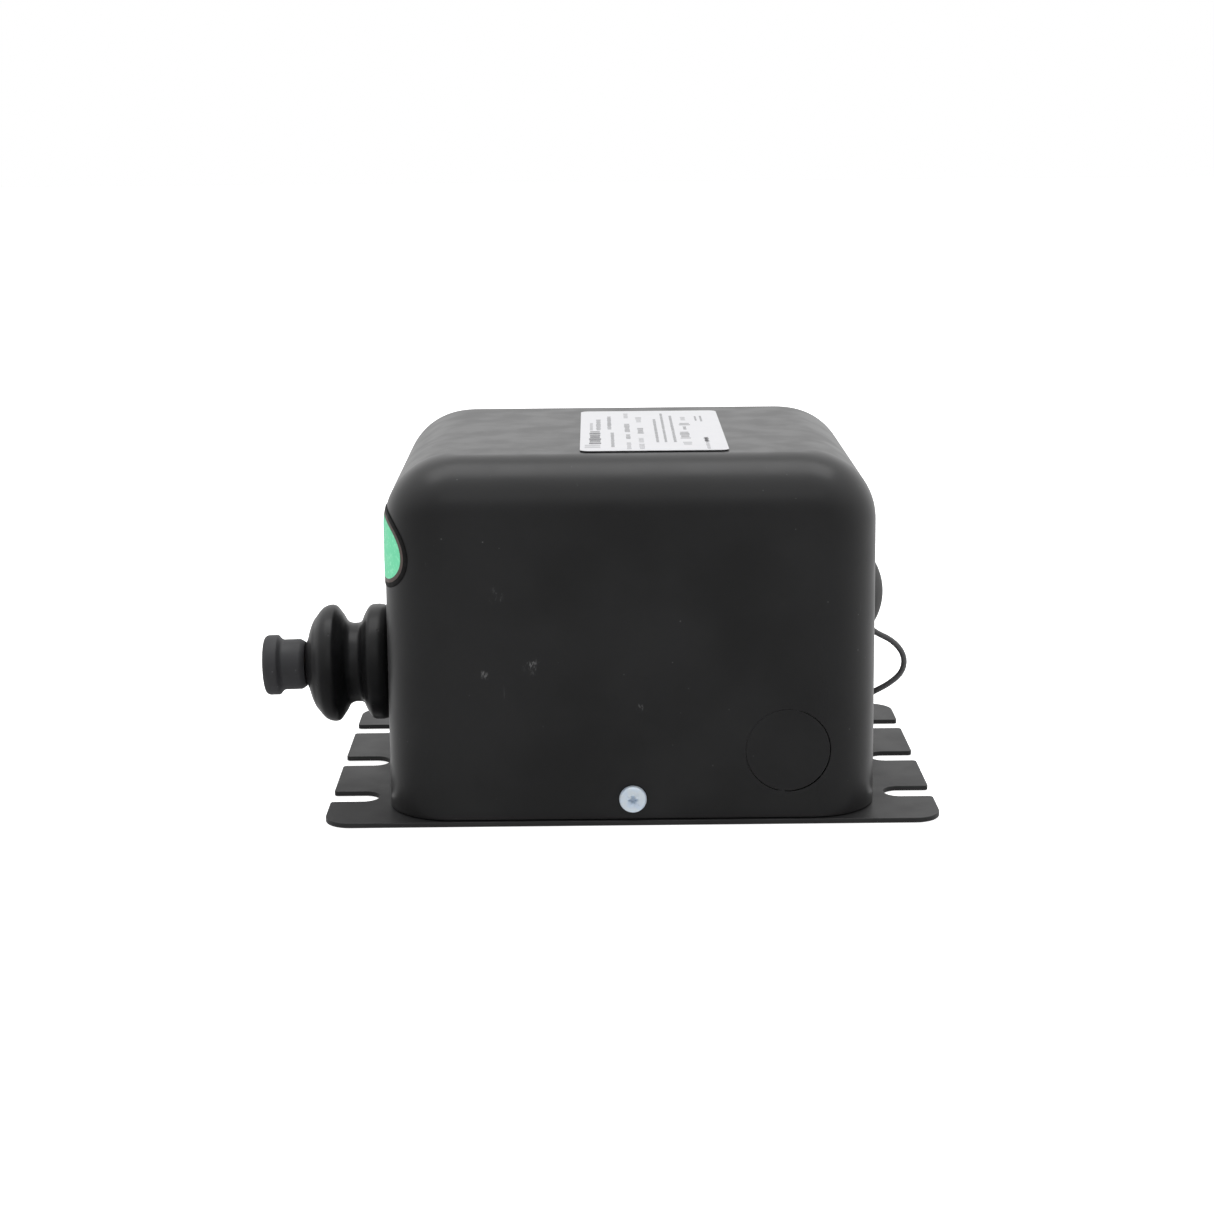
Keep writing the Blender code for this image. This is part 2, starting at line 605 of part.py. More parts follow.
def make_brackets(steel, zinc, cutter_finish):
    """Two L brackets carry the core above the base plate on two through bolts."""
    foot = BASE_THICKNESS + GAP
    for side, name in ((-1, "front"), (1, "rear")):
        near = CORE_HALF_STACK + GAP
        outline = [(near, foot), (near + 16 * MM, foot), (near + 16 * MM, foot + BRACKET_THICKNESS),
                   (near + BRACKET_THICKNESS, foot + BRACKET_THICKNESS),
                   (near + BRACKET_THICKNESS, BOLT_Z + 6 * MM), (near, BOLT_Z + 6 * MM)]
        bm = bmesh.new()
        length = CORE_HALF_LENGTH - 1 * MM
        skin(bm, [[(x, side * y, z) for y, z in outline] for x in (-length, length)])
        bracket = place("core_bracket_" + name, bm, steel)
        for x in (-BOLT_X, BOLT_X):
            line = axis_matrix((x, 0, BOLT_Z), (0, 1, 0))
            cut(bracket, drill(bracket.name + "_hole" + str(x > 0), BOLT_RADIUS + GAP, -30 * MM,
                               30 * MM, cutter_finish, line, 16))
    outside = CORE_HALF_STACK + 2 * GAP + BRACKET_THICKNESS
    for x, name in ((-BOLT_X, "left"), (BOLT_X, "right")):
        line = axis_matrix((x, 0, BOLT_Z), (0, -1, 0))
        bolt = [(0, -outside - 5 * MM), (BOLT_RADIUS, -outside - 5 * MM), (BOLT_RADIUS, outside),
                (4.4 * MM, outside), (4.4 * MM, outside + 3 * MM), (0, outside + 3 * MM)]
        turned("core_bolt_" + name, bolt, zinc, line, 18)
        hexagon_nut("core_nut_" + name, BOLT_RADIUS, 4.6 * MM, -outside - 4 * MM, -outside, zinc,
                    line)


def make_potting(bitumen, cutter_finish, bushing_line):
    """The compound that fills the can round the core, with room for what passes through it."""
    bm = bmesh.new()
    skin(bm, can_rings(18 * MM, CASE_WALL + 2 * GAP, 5))
    potting = place("potting_compound", bm, bitumen, 30)
    hollow = CORE_HALF_STACK + 16.5 * MM
    cut(potting, block("core_room", (-CORE_HALF_LENGTH - 14 * MM, CORE_HALF_LENGTH + MM),
                       (-hollow, hollow), (0, CORE_TOP + MM), cutter_finish))
    cut(potting, drill("bushing_room", 16.4 * MM, -30 * MM, 5 * MM, cutter_finish, bushing_line))
    cut(potting, block("lead_room", (40 * MM, 80 * MM), (8 * MM, 33 * MM), (30 * MM, 56 * MM),
                       cutter_finish))
    cut(potting, block("plug_room", (64 * MM, 80 * MM), (-14 * MM, 14 * MM), (43 * MM, 70 * MM),
                       cutter_finish))


def make_inner_leads(line, silicone, insulation):
    """Wires inside the can: the secondary's to the stud, and the primary's to the grommet."""
    stud_end = line @ Vector((0, 0, BUSHING_INNER_END - STUD_HEAD - 4 * GAP))
    clear = CORE_HALF_STACK + 14.2 * MM
    tube("hv_lead", [(-26 * MM, -clear, 58 * MM), (-35 * MM, -clear, 55 * MM),
                     (-45 * MM, -clear + 4 * MM, 47 * MM), (-49 * MM, -18 * MM, 40 * MM),
                     (-49.5 * MM, -8 * MM, 36 * MM), (-51.5 * MM, -1.5 * MM, stud_end.z),
                     tuple(stud_end)],
         HV_LEAD_RADIUS, silicone, 4 * MM)
    wall = wall_half_width(GROMMET_Z)
    tube("primary_lead_inside", [(24 * MM, clear, 53 * MM), (34 * MM, clear, 50 * MM),
                                 (46 * MM, 27 * MM, 46 * MM), (57 * MM, 18.5 * MM, 42.5 * MM),
                                 (wall - 6 * MM, GROMMET_Y, GROMMET_Z),
                                 (wall + 2.2 * MM, GROMMET_Y, GROMMET_Z)],
         LEAD_RADIUS, insulation, 4 * MM)


def make_lead(insulation, copper):
    """The free primary lead: its loop beside the case, its coil behind, and its bared end."""
    tube("primary_lead", [tuple(MM * c for c in p) for p in LEAD_ROUTE], LEAD_RADIUS, insulation,
         LEAD_SPACING)
    flat = Matrix.Translation((*COIL_MIDDLE, 0))
    round_in = 0.5 * MM
    profile = [(COIL_INNER, 0.1 * MM + round_in), (COIL_INNER + round_in, 0.1 * MM),
               (COIL_OUTER - round_in, 0.1 * MM), (COIL_OUTER, 0.1 * MM + round_in),
               (COIL_OUTER, COIL_HEIGHT - round_in), (COIL_OUTER - round_in, COIL_HEIGHT),
               (COIL_INNER + round_in, COIL_HEIGHT), (COIL_INNER, COIL_HEIGHT - round_in)]
    turned("primary_lead_coil", profile, insulation, flat, 32)
    reach = COIL_INNER - GAP - COPPER_RADIUS
    ends = [(COIL_MIDDLE[0] + reach * math.cos(math.radians(a)),
             COIL_MIDDLE[1] + reach * math.sin(math.radians(a)), LEAD_RADIUS) for a in (-30, 30)]
    tube("primary_lead_copper", ends, COPPER_RADIUS, copper, 2 * MM)


def main():
    clear_scene()
    black = material("black_enamel_steel", (0.02, 0.02, 0.022), 0.42)
    zinc = material("zinc_plate", (0.62, 0.66, 0.70), 0.3, 1.0)
    paper = material("label_paper", (0.86, 0.86, 0.88), 0.5)
    green = material("badge_green", (0.17, 0.62, 0.37), 0.45)
    porcelain = material("glazed_porcelain", (0.012, 0.012, 0.013), 0.12)
    rubber = material("rubber", (0.02, 0.02, 0.02), 0.7)
    bakelite = material("cap_plastic", (0.045, 0.045, 0.048), 0.5)
    brass = material("brass", (0.7, 0.5, 0.2), 0.3, 1.0)
    lamination = material("lamination_steel", (0.3, 0.31, 0.33), 0.5, 1.0)
    nylon = material("bobbin_nylon", (0.75, 0.7, 0.6), 0.6)
    wire = material("magnet_wire", (0.45, 0.16, 0.06), 0.35)
    bitumen = material("potting_bitumen", (0.015, 0.013, 0.012), 0.5)
    insulation = material("lead_insulation", (0.09, 0.09, 0.09), 0.5)
    silicone = material("hv_silicone", (0.5, 0.05, 0.04), 0.5)
    copper = material("bare_copper", (0.8, 0.42, 0.26), 0.35, 1.0)
    cutter = material("cutter", (1, 0, 0), 0.5)

    outward = (-math.cos(BUSHING_DROOP), 0, -math.sin(BUSHING_DROOP))
    bushing_line = axis_matrix((-wall_half_width(BUSHING_HEIGHT), 0, BUSHING_HEIGHT), outward)
    make_base(black, cutter)
    make_case(black, cutter, bushing_line)
    make_knockout(black)
    make_screw("cover_screw_front", -1, zinc, cutter)
    make_screw("cover_screw_rear", 1, zinc, cutter)
    make_rating_label(paper)
    make_corner_badge(green)
    make_bushing(bushing_line, porcelain, rubber, brass, nylon, bakelite)
    make_plug(rubber)
    make_grommet(rubber)
    make_core(lamination, cutter)
    window_end = CORE_HALF_LENGTH - YOKE - GAP
    make_winding("primary", SHUNT_THICKNESS / 2 + GAP, window_end, nylon, wire)
    make_winding("secondary", -window_end, -SHUNT_THICKNESS / 2 - GAP, nylon, wire)
    make_brackets(black, zinc, cutter)
    make_potting(bitumen, cutter, bushing_line)
    make_inner_leads(bushing_line, silicone, insulation)
    make_lead(insulation, copper)


main()
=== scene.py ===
import math
import random

import bmesh
import bpy
from bpy.props import FloatProperty, FloatVectorProperty, IntProperty, PointerProperty
from mathutils import Matrix, Vector


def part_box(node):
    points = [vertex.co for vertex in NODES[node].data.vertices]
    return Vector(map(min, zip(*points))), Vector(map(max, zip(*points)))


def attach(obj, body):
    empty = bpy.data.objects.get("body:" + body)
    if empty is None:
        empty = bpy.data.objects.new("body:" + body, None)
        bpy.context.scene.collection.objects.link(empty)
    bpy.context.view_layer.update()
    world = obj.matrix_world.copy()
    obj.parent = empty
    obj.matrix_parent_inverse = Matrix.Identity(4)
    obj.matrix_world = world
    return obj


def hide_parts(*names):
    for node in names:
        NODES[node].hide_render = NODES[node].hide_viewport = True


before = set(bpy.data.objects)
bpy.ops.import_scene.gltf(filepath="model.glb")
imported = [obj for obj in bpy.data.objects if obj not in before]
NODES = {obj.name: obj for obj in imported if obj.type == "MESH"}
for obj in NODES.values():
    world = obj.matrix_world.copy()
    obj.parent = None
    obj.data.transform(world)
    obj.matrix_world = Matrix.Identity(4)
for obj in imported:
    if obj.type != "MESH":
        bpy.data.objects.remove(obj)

bl_info = {
    "name": "Burner ignition transformer",
    "version": (1, 0, 0),
    "blender": (4, 5, 0),
    "location": "View3D > Sidebar > Transformer",
    "description": "Makes the finished pieces of a canned ignition transformer on its CAD frame",
    "category": "Object",
}

MM = 0.001
PLAY = 0.3 * MM         # between a fitting and the hole or wall that it sits in
CASE_PEEL = 0.006 * MM  # depth of the case enamel's orange peel
BODY = "transformer"
CAP_BODY = "terminal_cap"


# ---------------------------------------------------------------- sizes and colours

def length(name, description, default):
    return FloatProperty(name=name, description=description, default=default, unit="LENGTH",
                         precision=5)


def colour(name, description, default):
    return FloatVectorProperty(name=name, description=description, default=default,
                               subtype="COLOR", min=0, max=1)


def factor(name, description, default):
    return FloatProperty(name=name, description=description, default=default, min=0, max=1,
                         subtype="FACTOR")


class CaseSettings(bpy.types.PropertyGroup):
    width: length("Width", "Across the case at its foot", 146.8 * MM)
    depth: length("Depth", "From the front wall to the rear wall at the foot", 124 * MM)
    top: length("Top", "Height of the roof", 109 * MM)
    foot: length("Foot", "Height of the can's open edge", 1.8 * MM)
    wall: length("Wall", "Thickness of the drawn steel", 1.2 * MM)
    corner: length("Corner radius", "Radius of the upright edges", 19.7 * MM)
    shoulder: length("Side shoulder", "Radius between the side walls and the roof", 21 * MM)
    front_shoulder: length("Front shoulder", "Radius between long walls and roof", 15.5 * MM)
    roof_corner: length("Roof corner", "Corner radius of the flat roof", 3 * MM)
    draft: factor("Draft", "How far the walls lean in, per unit of height", 0.006)
    enamel: colour("Enamel", "Semi-gloss black enamel", (0.010, 0.010, 0.0105))
    sheen: factor("Roughness", "Roughness of the case enamel", 0.33)


class BaseSettings(bpy.types.PropertyGroup):
    length: length("Length", "Along the plate", 184 * MM)
    depth: length("Depth", "Across the plate", 126 * MM)
    thickness: length("Thickness", "Steel thickness", 1.5 * MM)
    corner: length("Corner radius", "Radius of the plate's corners", 8 * MM)
    slot_width: length("Slot width", "Width of each open slot", 9.8 * MM)
    slot_pitch: length("Slot pitch", "Between the slots' middles", 37 * MM)
    slot_end: length("Slot end", "From the middle to a slot's inner end", 77.4 * MM)
    slot_mouth: length("Slot mouth", "Rounding at a slot's mouth", 1.2 * MM)
    enamel: colour("Enamel", "Satin black enamel", (0.014, 0.014, 0.0145))
    sheen: factor("Roughness", "Roughness of the base enamel", 0.48)


class KnockoutSettings(bpy.types.PropertyGroup):
    across: length("Across", "From the middle of the front wall", 46 * MM)
    height: length("Height", "Above the mounting face", 22.3 * MM)
    radius: length("Radius", "Radius of the blank", 12.4 * MM)
    gap: length("Gap", "Mean width of the groove round the blank", 0.19 * MM)
    set_in: length("Set in", "How far the blank sits below the wall", 0.05 * MM)


class ScrewSettings(bpy.types.PropertyGroup):
    height: length("Height", "Of the screw's axis", 8.2 * MM)
    head: length("Head radius", "Radius of the pan head", 4.05 * MM)
    tall: length("Head height", "Height of the pan head", 2.4 * MM)
    shank: length("Shank radius", "Radius over the thread", 1.9 * MM)
    long: length("Length", "From under the head to the tip", 8 * MM)
    zinc: colour("Zinc", "Bluish zinc plate", (0.66, 0.73, 0.79))


class LabelSettings(bpy.types.PropertyGroup):
    across: length("Across", "Middle of the label, right of the case's middle", 7.3 * MM)
    back: length("Back", "Middle of the label, behind the case's middle", -4.7 * MM)
    width: length("Width", "Along the case", 44 * MM)
    depth: length("Depth", "From front to rear", 79.8 * MM)
    corner: length("Corner radius", "Radius of the label's corners", 2.5 * MM)
    film: colour("Film", "White label film", (0.68, 0.68, 0.70))
    ink: colour("Ink", "Grey print", (0.22, 0.22, 0.23))


class BadgeSettings(bpy.types.PropertyGroup):
    height: length("Height", "Of the badge's middle, up the wall", 82 * MM)
    along: length("Along", "Of the middle, round the edge from the left wall", 3.5 * MM)
    long: length("Half length", "Half of the long axis", 15 * MM)
    wide: length("Half width", "Half of the short axis", 11.5 * MM)
    tilt: FloatProperty(name="Tilt", description="How far the long axis rises to the left",
                        subtype="ANGLE", default=math.radians(20))
    # The rim band is partly the badge's black border and partly painted shadow along its edge
    rim_and_shadow_width: length("Rim width", "Of the black rim", 1.3 * MM)
    ring_width: length("Ring width", "Of the brown-grey line", 1.2 * MM)
    green: colour("Green", "Pale green print", (0.12, 0.58, 0.32))
    # Very dark rim colour: partly the badge's black border, partly painted shadow along its edge
    rim_and_shadow: colour("Rim", "Black rim", (0.006, 0.006, 0.006))
    ring: colour("Ring", "Brown-grey line between rim and green", (0.07, 0.05, 0.045))


class BushingSettings(bpy.types.PropertyGroup):
    height: length("Height", "Of the axis at the left wall", 35 * MM)
    droop: FloatProperty(name="Droop", description="Slope of the axis", subtype="ANGLE",
                         default=math.radians(1.5))
    body: length("Body radius", "Radius through the wall", 11.5 * MM)
    bore: length("Bore", "Radius of the stud's hole", 2.4 * MM)
    sides: IntProperty(name="Sides", description="Sides of the turned shapes", default=96, min=24)
    glaze: colour("Glaze", "Black glaze", (0.006, 0.006, 0.0065))
    cap: colour("Cap", "Dark grey moulding", (0.027, 0.027, 0.030))


class WallFittingSettings(bpy.types.PropertyGroup):
    plug_height: length("Plug height", "Of the plug's middle", 56.5 * MM)
    plug_radius: length("Plug radius", "Of the plug's dome", 15 * MM)
    plug_hole: length("Plug hole", "Radius of the hole it fills", 11.1 * MM)
    plug_dome: length("Dome", "Height of the dome", 7.4 * MM)
    lead_back: length("Lead back", "Of the lead's hole, behind the middle", 16 * MM)
    lead_height: length("Lead height", "Of the lead's hole", 41.5 * MM)
    lead_hole: length("Lead hole", "Radius of the lead's hole", 4 * MM)
    rubber: colour("Rubber", "Black rubber", (0.022, 0.022, 0.022))


class LeadSettings(bpy.types.PropertyGroup):
    diameter: length("Diameter", "Over the insulation", 1.9 * MM)
    coil_across: length("Coil across", "Middle of the coil", 58 * MM)
    coil_back: length("Coil back", "Middle of the coil, behind the base plate", 76.5 * MM)
    coil_radius: length("Coil radius", "Radius of the outer turn", 10.95 * MM)
    coil_step: length("Coil step", "From one turn to the next", 1.95 * MM)
    insulation: colour("Insulation", "Dark grey lead insulation", (0.088, 0.088, 0.090))
    copper: colour("Copper", "Bare strands", (0.80, 0.42, 0.26))


class StageSettings(bpy.types.PropertyGroup):
    pitch: FloatProperty(name="Pitch", description="How far the camera looks down",
                         subtype="ANGLE", default=math.radians(13.236))
    yaw: FloatProperty(name="Yaw", description="Camera's turn to the right", subtype="ANGLE",
                       default=math.radians(0.258))
    roll: FloatProperty(name="Roll", description="Camera's tilt", subtype="ANGLE",
                        default=math.radians(-0.5))
    distance: length("Distance", "From the camera to the point it looks at", 0.722)
    lens: FloatProperty(name="Lens", description="Focal length in millimetres", default=67.22)
    floor: colour("Floor", "Pale floor", (0.9, 0.9, 0.9))


SETTINGS = {
    "transformer_case": CaseSettings, "transformer_base": BaseSettings,
    "transformer_knockout": KnockoutSettings, "transformer_screws": ScrewSettings,
    "transformer_label": LabelSettings, "transformer_badge": BadgeSettings,
    "transformer_bushing": BushingSettings, "transformer_fittings": WallFittingSettings,
    "transformer_lead": LeadSettings, "transformer_stage": StageSettings,
}


def settings(part):
    return getattr(bpy.context.scene, "transformer_" + part)


# ---------------------------------------------------------------- finishes

class Finish:
    """A material in the making, with short calls that add and wire its nodes."""

    def __init__(self, name, base, roughness, **fixed):
        self.material = bpy.data.materials.new(name)
        self.material.use_nodes = True
        self.tree = self.material.node_tree
        self.shader = self.tree.nodes["Principled BSDF"]
        self.shader.inputs["Base Color"].default_value = (*base, 1)
        self.shader.inputs["Roughness"].default_value = roughness
        for socket, value in fixed.items():
            self.shader.inputs[socket.replace("_", " ")].default_value = value
        self.place = self.add("TexCoord").outputs["Object"]

    def add(self, kind, inputs=None, **options):
        node = self.tree.nodes.new("ShaderNode" + kind)
        for option, value in options.items():
            setattr(node, option, value)
        for socket, value in (inputs or {}).items():
            if isinstance(value, bpy.types.NodeSocket):
                self.tree.links.new(value, node.inputs[socket])
            else:
                node.inputs[socket].default_value = value
        return node

    def link(self, value, socket):
        self.tree.links.new(value, self.shader.inputs[socket])

    def math(self, operation, a, b=0.0):
        return self.add("Math", {0: a, 1: b}, operation=operation).outputs[0]

    def noise(self, scale, detail=2.0, roughness=0.5, vector=None):
        node = self.add("TexNoise", {"Vector": vector or self.place, "Scale": scale,
                                     "Detail": detail, "Roughness": roughness})
        return node.outputs["Fac"]

    def stretched(self, scale, turn=(0.0, 0.0, 0.0)):
        node = self.add("Mapping", {"Vector": self.place, "Scale": scale, "Rotation": turn})
        return node.outputs["Vector"]

    def between(self, value, low, high, out_low=0.0, out_high=1.0):
        """Maps a value's range onto another, with soft ends."""
        node = self.add("MapRange", {"Value": value, "From Min": low, "From Max": high,
                                     "To Min": out_low, "To Max": out_high},
                        interpolation_type="SMOOTHSTEP")
        return node.outputs["Result"]

    def mix(self, amount, first, second):
        node = self.add("Mix", data_type="RGBA")
        for socket, value in ((0, amount), (6, first), (7, second)):
            if isinstance(value, bpy.types.NodeSocket):
                self.tree.links.new(value, node.inputs[socket])
            elif socket:
                node.inputs[socket].default_value = (*value, 1)
            else:
                node.inputs[socket].default_value = value
        return node.outputs[2]

    def bump(self, height, depth, under=None):
        """Raises the surface by depth, in metres, where height is 1."""
        inputs = {"Height": height, "Strength": 1.0, "Distance": depth}
        if under:
            inputs["Normal"] = under
        return self.add("Bump", inputs).outputs["Normal"]

    def near(self, point, inner, outer):
        """1 close to a point, fading to 0 at the outer distance."""
        away = self.add("VectorMath", {0: self.place, 1: point}, operation="DISTANCE")
        return self.between(away.outputs["Value"], inner, outer, 1.0, 0.0)

    def specks(self, scale, size, share):
        """1 on small round specks, in that share of the cells."""
        cells = self.add("TexVoronoi", {"Vector": self.place, "Scale": scale})
        dots = self.between(cells.outputs["Distance"], size * 0.5, size, 1.0, 0.0)
        tone = self.add("SeparateColor", {"Color": cells.outputs["Color"]}).outputs[0]
        return self.math("MULTIPLY", dots, self.math("GREATER_THAN", tone, 1 - share))


def enamel(name, base, roughness, peel, scuffs=()):
    """Sprayed black enamel: orange peel, uneven gloss, dust specks, hairlines and scuffs."""
    made = Finish(name, base, roughness, IOR=1.5)
    cloud = made.noise(28, 3)
    dust = made.math("MULTIPLY", made.specks(420, 0.12, 0.08), made.between(cloud, 0.4, 0.7))
    hair = made.noise(900, 2, 0.6, made.stretched((1, 0.5, 0.05), (0.3, 0.9, 0.35)))
    hairlines = made.math("MULTIPLY", made.between(hair, 0.74, 0.8),
                          made.between(made.noise(60, 1), 0.56, 0.72))
    marks = made.math("MAXIMUM", dust, hairlines)
    rubbed = made.noise(1500, 4, 0.75, made.stretched((1, 1, 0.35), (0, 0.6, 0)))
    for point, reach in scuffs:
        spot = made.math("MULTIPLY", made.near(point, reach * 0.2, reach),
                         made.between(rubbed, 0.53, 0.62))
        marks = made.math("MAXIMUM", marks, spot)
    worn = tuple(min(1.0, 0.10 + channel * 2) for channel in base)
    tinted = made.mix(made.between(cloud, 0.3, 0.7), tuple(0.8 * c for c in base),
                      tuple(1.2 * c for c in base))
    made.link(made.mix(made.math("MULTIPLY", marks, 0.7), tinted, worn), "Base Color")
    uneven = made.between(made.noise(90, 3), 0.3, 0.7, roughness - 0.03, roughness + 0.03)
    made.link(made.math("ADD", uneven, made.math("MULTIPLY", marks, 0.25)), "Roughness")
    sheet = made.bump(made.noise(22, 1), 0.02 * MM)
    made.link(made.bump(made.noise(650, 2), peel, sheet), "Normal")
    return made.material


def zinc_plate(name, base):
    made = Finish(name, base, 0.35, Metallic=0.35)
    cloud = made.noise(300, 4, 0.6)
    cool = (base[0] * 0.92, base[1] * 0.97, min(1, base[2] * 1.06))
    made.link(made.mix(made.between(cloud, 0.35, 0.65), base, cool), "Base Color")
    made.link(made.between(made.noise(1200, 2), 0.3, 0.7, 0.3, 0.42), "Roughness")
    made.link(made.bump(made.noise(2500, 3), 0.008 * MM), "Normal")
    return made.material


def turned_metal(name, base, roughness):
    """Brass or copper with fine tool lines and a light tarnish."""
    made = Finish(name, base, roughness, Metallic=1.0)
    tarnish = made.between(made.noise(260, 4, 0.65), 0.5, 0.75, 0.0, 0.6)
    made.link(made.mix(tarnish, base, tuple(c * 0.45 for c in base)), "Base Color")
    lines = made.noise(2600, 2, 0.5, made.stretched((1, 0.05, 0.05)))
    made.link(made.between(lines, 0.3, 0.7, roughness - 0.06, roughness + 0.1), "Roughness")
    made.link(made.bump(lines, 0.01 * MM), "Normal")
    return made.material


def moulded(name, base, roughness, grain, depth):
    """Moulded plastic or rubber: fine grain, faint flow marks and a little dust."""
    made = Finish(name, base, roughness, IOR=1.5)
    flow = made.noise(120, 3, 0.6, made.stretched((1, 1, 0.4)))
    dust = made.math("MULTIPLY", made.specks(700, 0.2, 0.15), 0.35)
    tinted = made.mix(flow, tuple(c * 0.8 for c in base), tuple(min(1, c * 1.2) for c in base))
    made.link(made.mix(dust, tinted, tuple(min(1, c + 0.12) for c in base)), "Base Color")
    made.link(made.between(flow, 0.3, 0.7, roughness - 0.06, roughness + 0.06), "Roughness")
    made.link(made.bump(made.noise(grain, 2), depth), "Normal")
    return made.material


def glazed_porcelain(name, base):
    """Black glaze with slow waves, pinholes and a thin clear skin."""
    made = Finish(name, base, 0.3, IOR=1.38, Coat_Weight=0.05, Coat_Roughness=0.2)
    thin = made.between(made.noise(70, 2), 0.45, 0.75)
    made.link(made.mix(thin, base, tuple(c * 2.2 for c in base)), "Base Color")
    made.link(made.between(made.noise(160, 3), 0.3, 0.7, 0.30, 0.40), "Roughness")
    waves = made.bump(made.noise(95, 1), 0.10 * MM)
    made.link(made.bump(made.specks(520, 0.22, 0.12), -0.05 * MM, waves), "Normal")
    return made.material


def layered(name, base, roughness, axis, pitch, metallic):
    """Sheets or turns of wire laid side by side along one axis."""
    made = Finish(name, base, roughness, Metallic=metallic)
    along = made.add("SeparateXYZ", {"Vector": made.place}).outputs[axis]
    ripple = made.math("SINE", made.math("MULTIPLY", along, math.tau / pitch))
    line = made.between(ripple, -1.0, 0.2)
    tone = made.noise(200, 3)
    shade = made.mix(tone, tuple(c * 0.75 for c in base), tuple(min(1, c * 1.2) for c in base))
    made.link(made.mix(line, tuple(c * 0.35 for c in base), shade), "Base Color")
    made.link(made.between(tone, 0.3, 0.7, roughness - 0.08, roughness + 0.08), "Roughness")
    made.link(made.bump(line, 0.03 * MM), "Normal")
    return made.material


def label_film(name, base):
    made = Finish(name, base, 0.42)
    fibre = made.noise(240, 4, 0.6)
    soiled = made.between(made.noise(45, 3), 0.55, 0.8, 0.0, 0.25)
    clean = made.mix(fibre, tuple(c * 0.96 for c in base), tuple(min(1, c * 1.02) for c in base))
    made.link(made.mix(soiled, clean, tuple(c * 0.86 for c in base)), "Base Color")
    made.link(made.between(fibre, 0.3, 0.7, 0.38, 0.5), "Roughness")
    made.link(made.bump(made.noise(60, 2), 0.05 * MM), "Normal")
    return made.material


def printed(name, base, worn, amount=0.5, gloss=0.5):
    """Ink on film, thinner in places."""
    made = Finish(name, base, 0.5, Specular_IOR_Level=gloss)
    thin = made.between(made.noise(900, 3, 0.7), 0.45, 0.75, 0.0, amount)
    made.link(made.mix(thin, base, worn), "Base Color")
    made.link(made.between(made.noise(300, 2), 0.3, 0.7, 0.42, 0.56), "Roughness")
    made.link(made.bump(made.noise(1400, 2), 0.004 * MM), "Normal")
    return made.material


# ---------------------------------------------------------------- shapes

def arc(middle, radius, start, end, steps):
    """Points on an arc in the plane, angles in degrees."""
    points = []
    for i in range(steps + 1):
        angle = math.radians(start + (end - start) * i / steps)
        points.append((middle[0] + radius * math.cos(angle),
                       middle[1] + radius * math.sin(angle)))
    return points


def rounded_rectangle(half_x, half_y, radius, steps=8, middle=(0, 0)):
    """Outline, anticlockwise from the right side."""
    points = []
    for quarter, (sx, sy) in enumerate([(1, 1), (-1, 1), (-1, -1), (1, -1)]):
        corner = (middle[0] + sx * (half_x - radius), middle[1] + sy * (half_y - radius))
        points += arc(corner, radius, 90 * quarter, 90 * quarter + 90, steps)
    return points


def band(bm, low, high):
    """Faces between two loops of vertices. A loop of one vertex is a pole."""
    sides = max(len(low), len(high))
    for i in range(sides):
        j = (i + 1) % sides
        if len(low) == 1:
            bm.faces.new((low[0], high[j], high[i]))
        elif len(high) == 1:
            bm.faces.new((low[i], low[j], high[0]))
        else:
            bm.faces.new((low[i], low[j], high[j], high[i]))


def skin(bm, rings):
    """Joins rings of points with bands and caps both ends."""
    loops = [[bm.verts.new(point) for point in ring] for ring in rings]
    for low, high in zip(loops, loops[1:]):
        band(bm, low, high)
    bm.faces.new(loops[0][::-1])
    bm.faces.new(loops[-1])


def slab(bm, outline, low, high):
    """A flat piece between two levels."""
    skin(bm, [[(a, b, level) for a, b in outline] for level in (low, high)])


def turn_profile(bm, profile, sides):
    """Spins a profile of (radius, distance) about +Z. Points on the axis become poles."""
    rings = []
    for radius, level in profile:
        count = sides if radius else 1
        rings.append([bm.verts.new((radius * math.cos(math.tau * i / sides),
                                    radius * math.sin(math.tau * i / sides), level))
                      for i in range(count)])
    pairs = list(zip(rings, rings[1:]))
    if profile[0][0] and profile[-1][0]:
        pairs.append((rings[-1], rings[0]))
    for low, high in pairs:
        band(bm, low, high)


def axis_matrix(point, direction):
    """Maps local +Z to a direction that starts at a point."""
    turn = Vector((0, 0, 1)).rotation_difference(Vector(direction)).to_matrix().to_4x4()
    return Matrix.Translation(point) @ turn


def spline_through(points, steps):
    """Catmull-Rom points through hand-set points, ends included."""
    route = [Vector(p) for p in points]
    route = [2 * route[0] - route[1]] + route + [2 * route[-1] - route[-2]]
    fine = []
    for a, b, c, d in zip(route, route[1:], route[2:], route[3:]):
        for i in range(steps):
            t = i / steps
            fine.append(0.5 * (2 * b + (c - a) * t + (2 * a - 5 * b + 4 * c - d) * t ** 2
                               + (3 * b - a - 3 * c + d) * t ** 3))
    fine.append(route[-2])
    return fine


def new_object(name, bm, sharp=35):
    bmesh.ops.recalc_face_normals(bm, faces=bm.faces)
    mesh = bpy.data.meshes.new(name)
    bm.to_mesh(mesh)
    bm.free()
    mesh.shade_smooth()
    mesh.set_sharp_from_angle(angle=math.radians(sharp))
    thing = bpy.data.objects.new(name, mesh)
    bpy.context.scene.collection.objects.link(thing)
    return thing


def new_cutter(name, bm):
    """A shape that only cuts or joins another one."""
    cutter = new_object(name, bm)
    cutter.hide_render = True
    return cutter


def new_turned(name, profile, sides, line, sharp=35):
    """A turned piece along a line."""
    bm = bmesh.new()
    turn_profile(bm, profile, sides)
    bm.transform(line)
    return new_object(name, bm, sharp)


def fit(thing, finish, nodes=(), body=BODY):
    """Gives a piece its finish and says what it rides on and stands for."""
    thing.data.materials.append(finish)
    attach(thing, body)
    if nodes:
        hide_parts(*nodes)


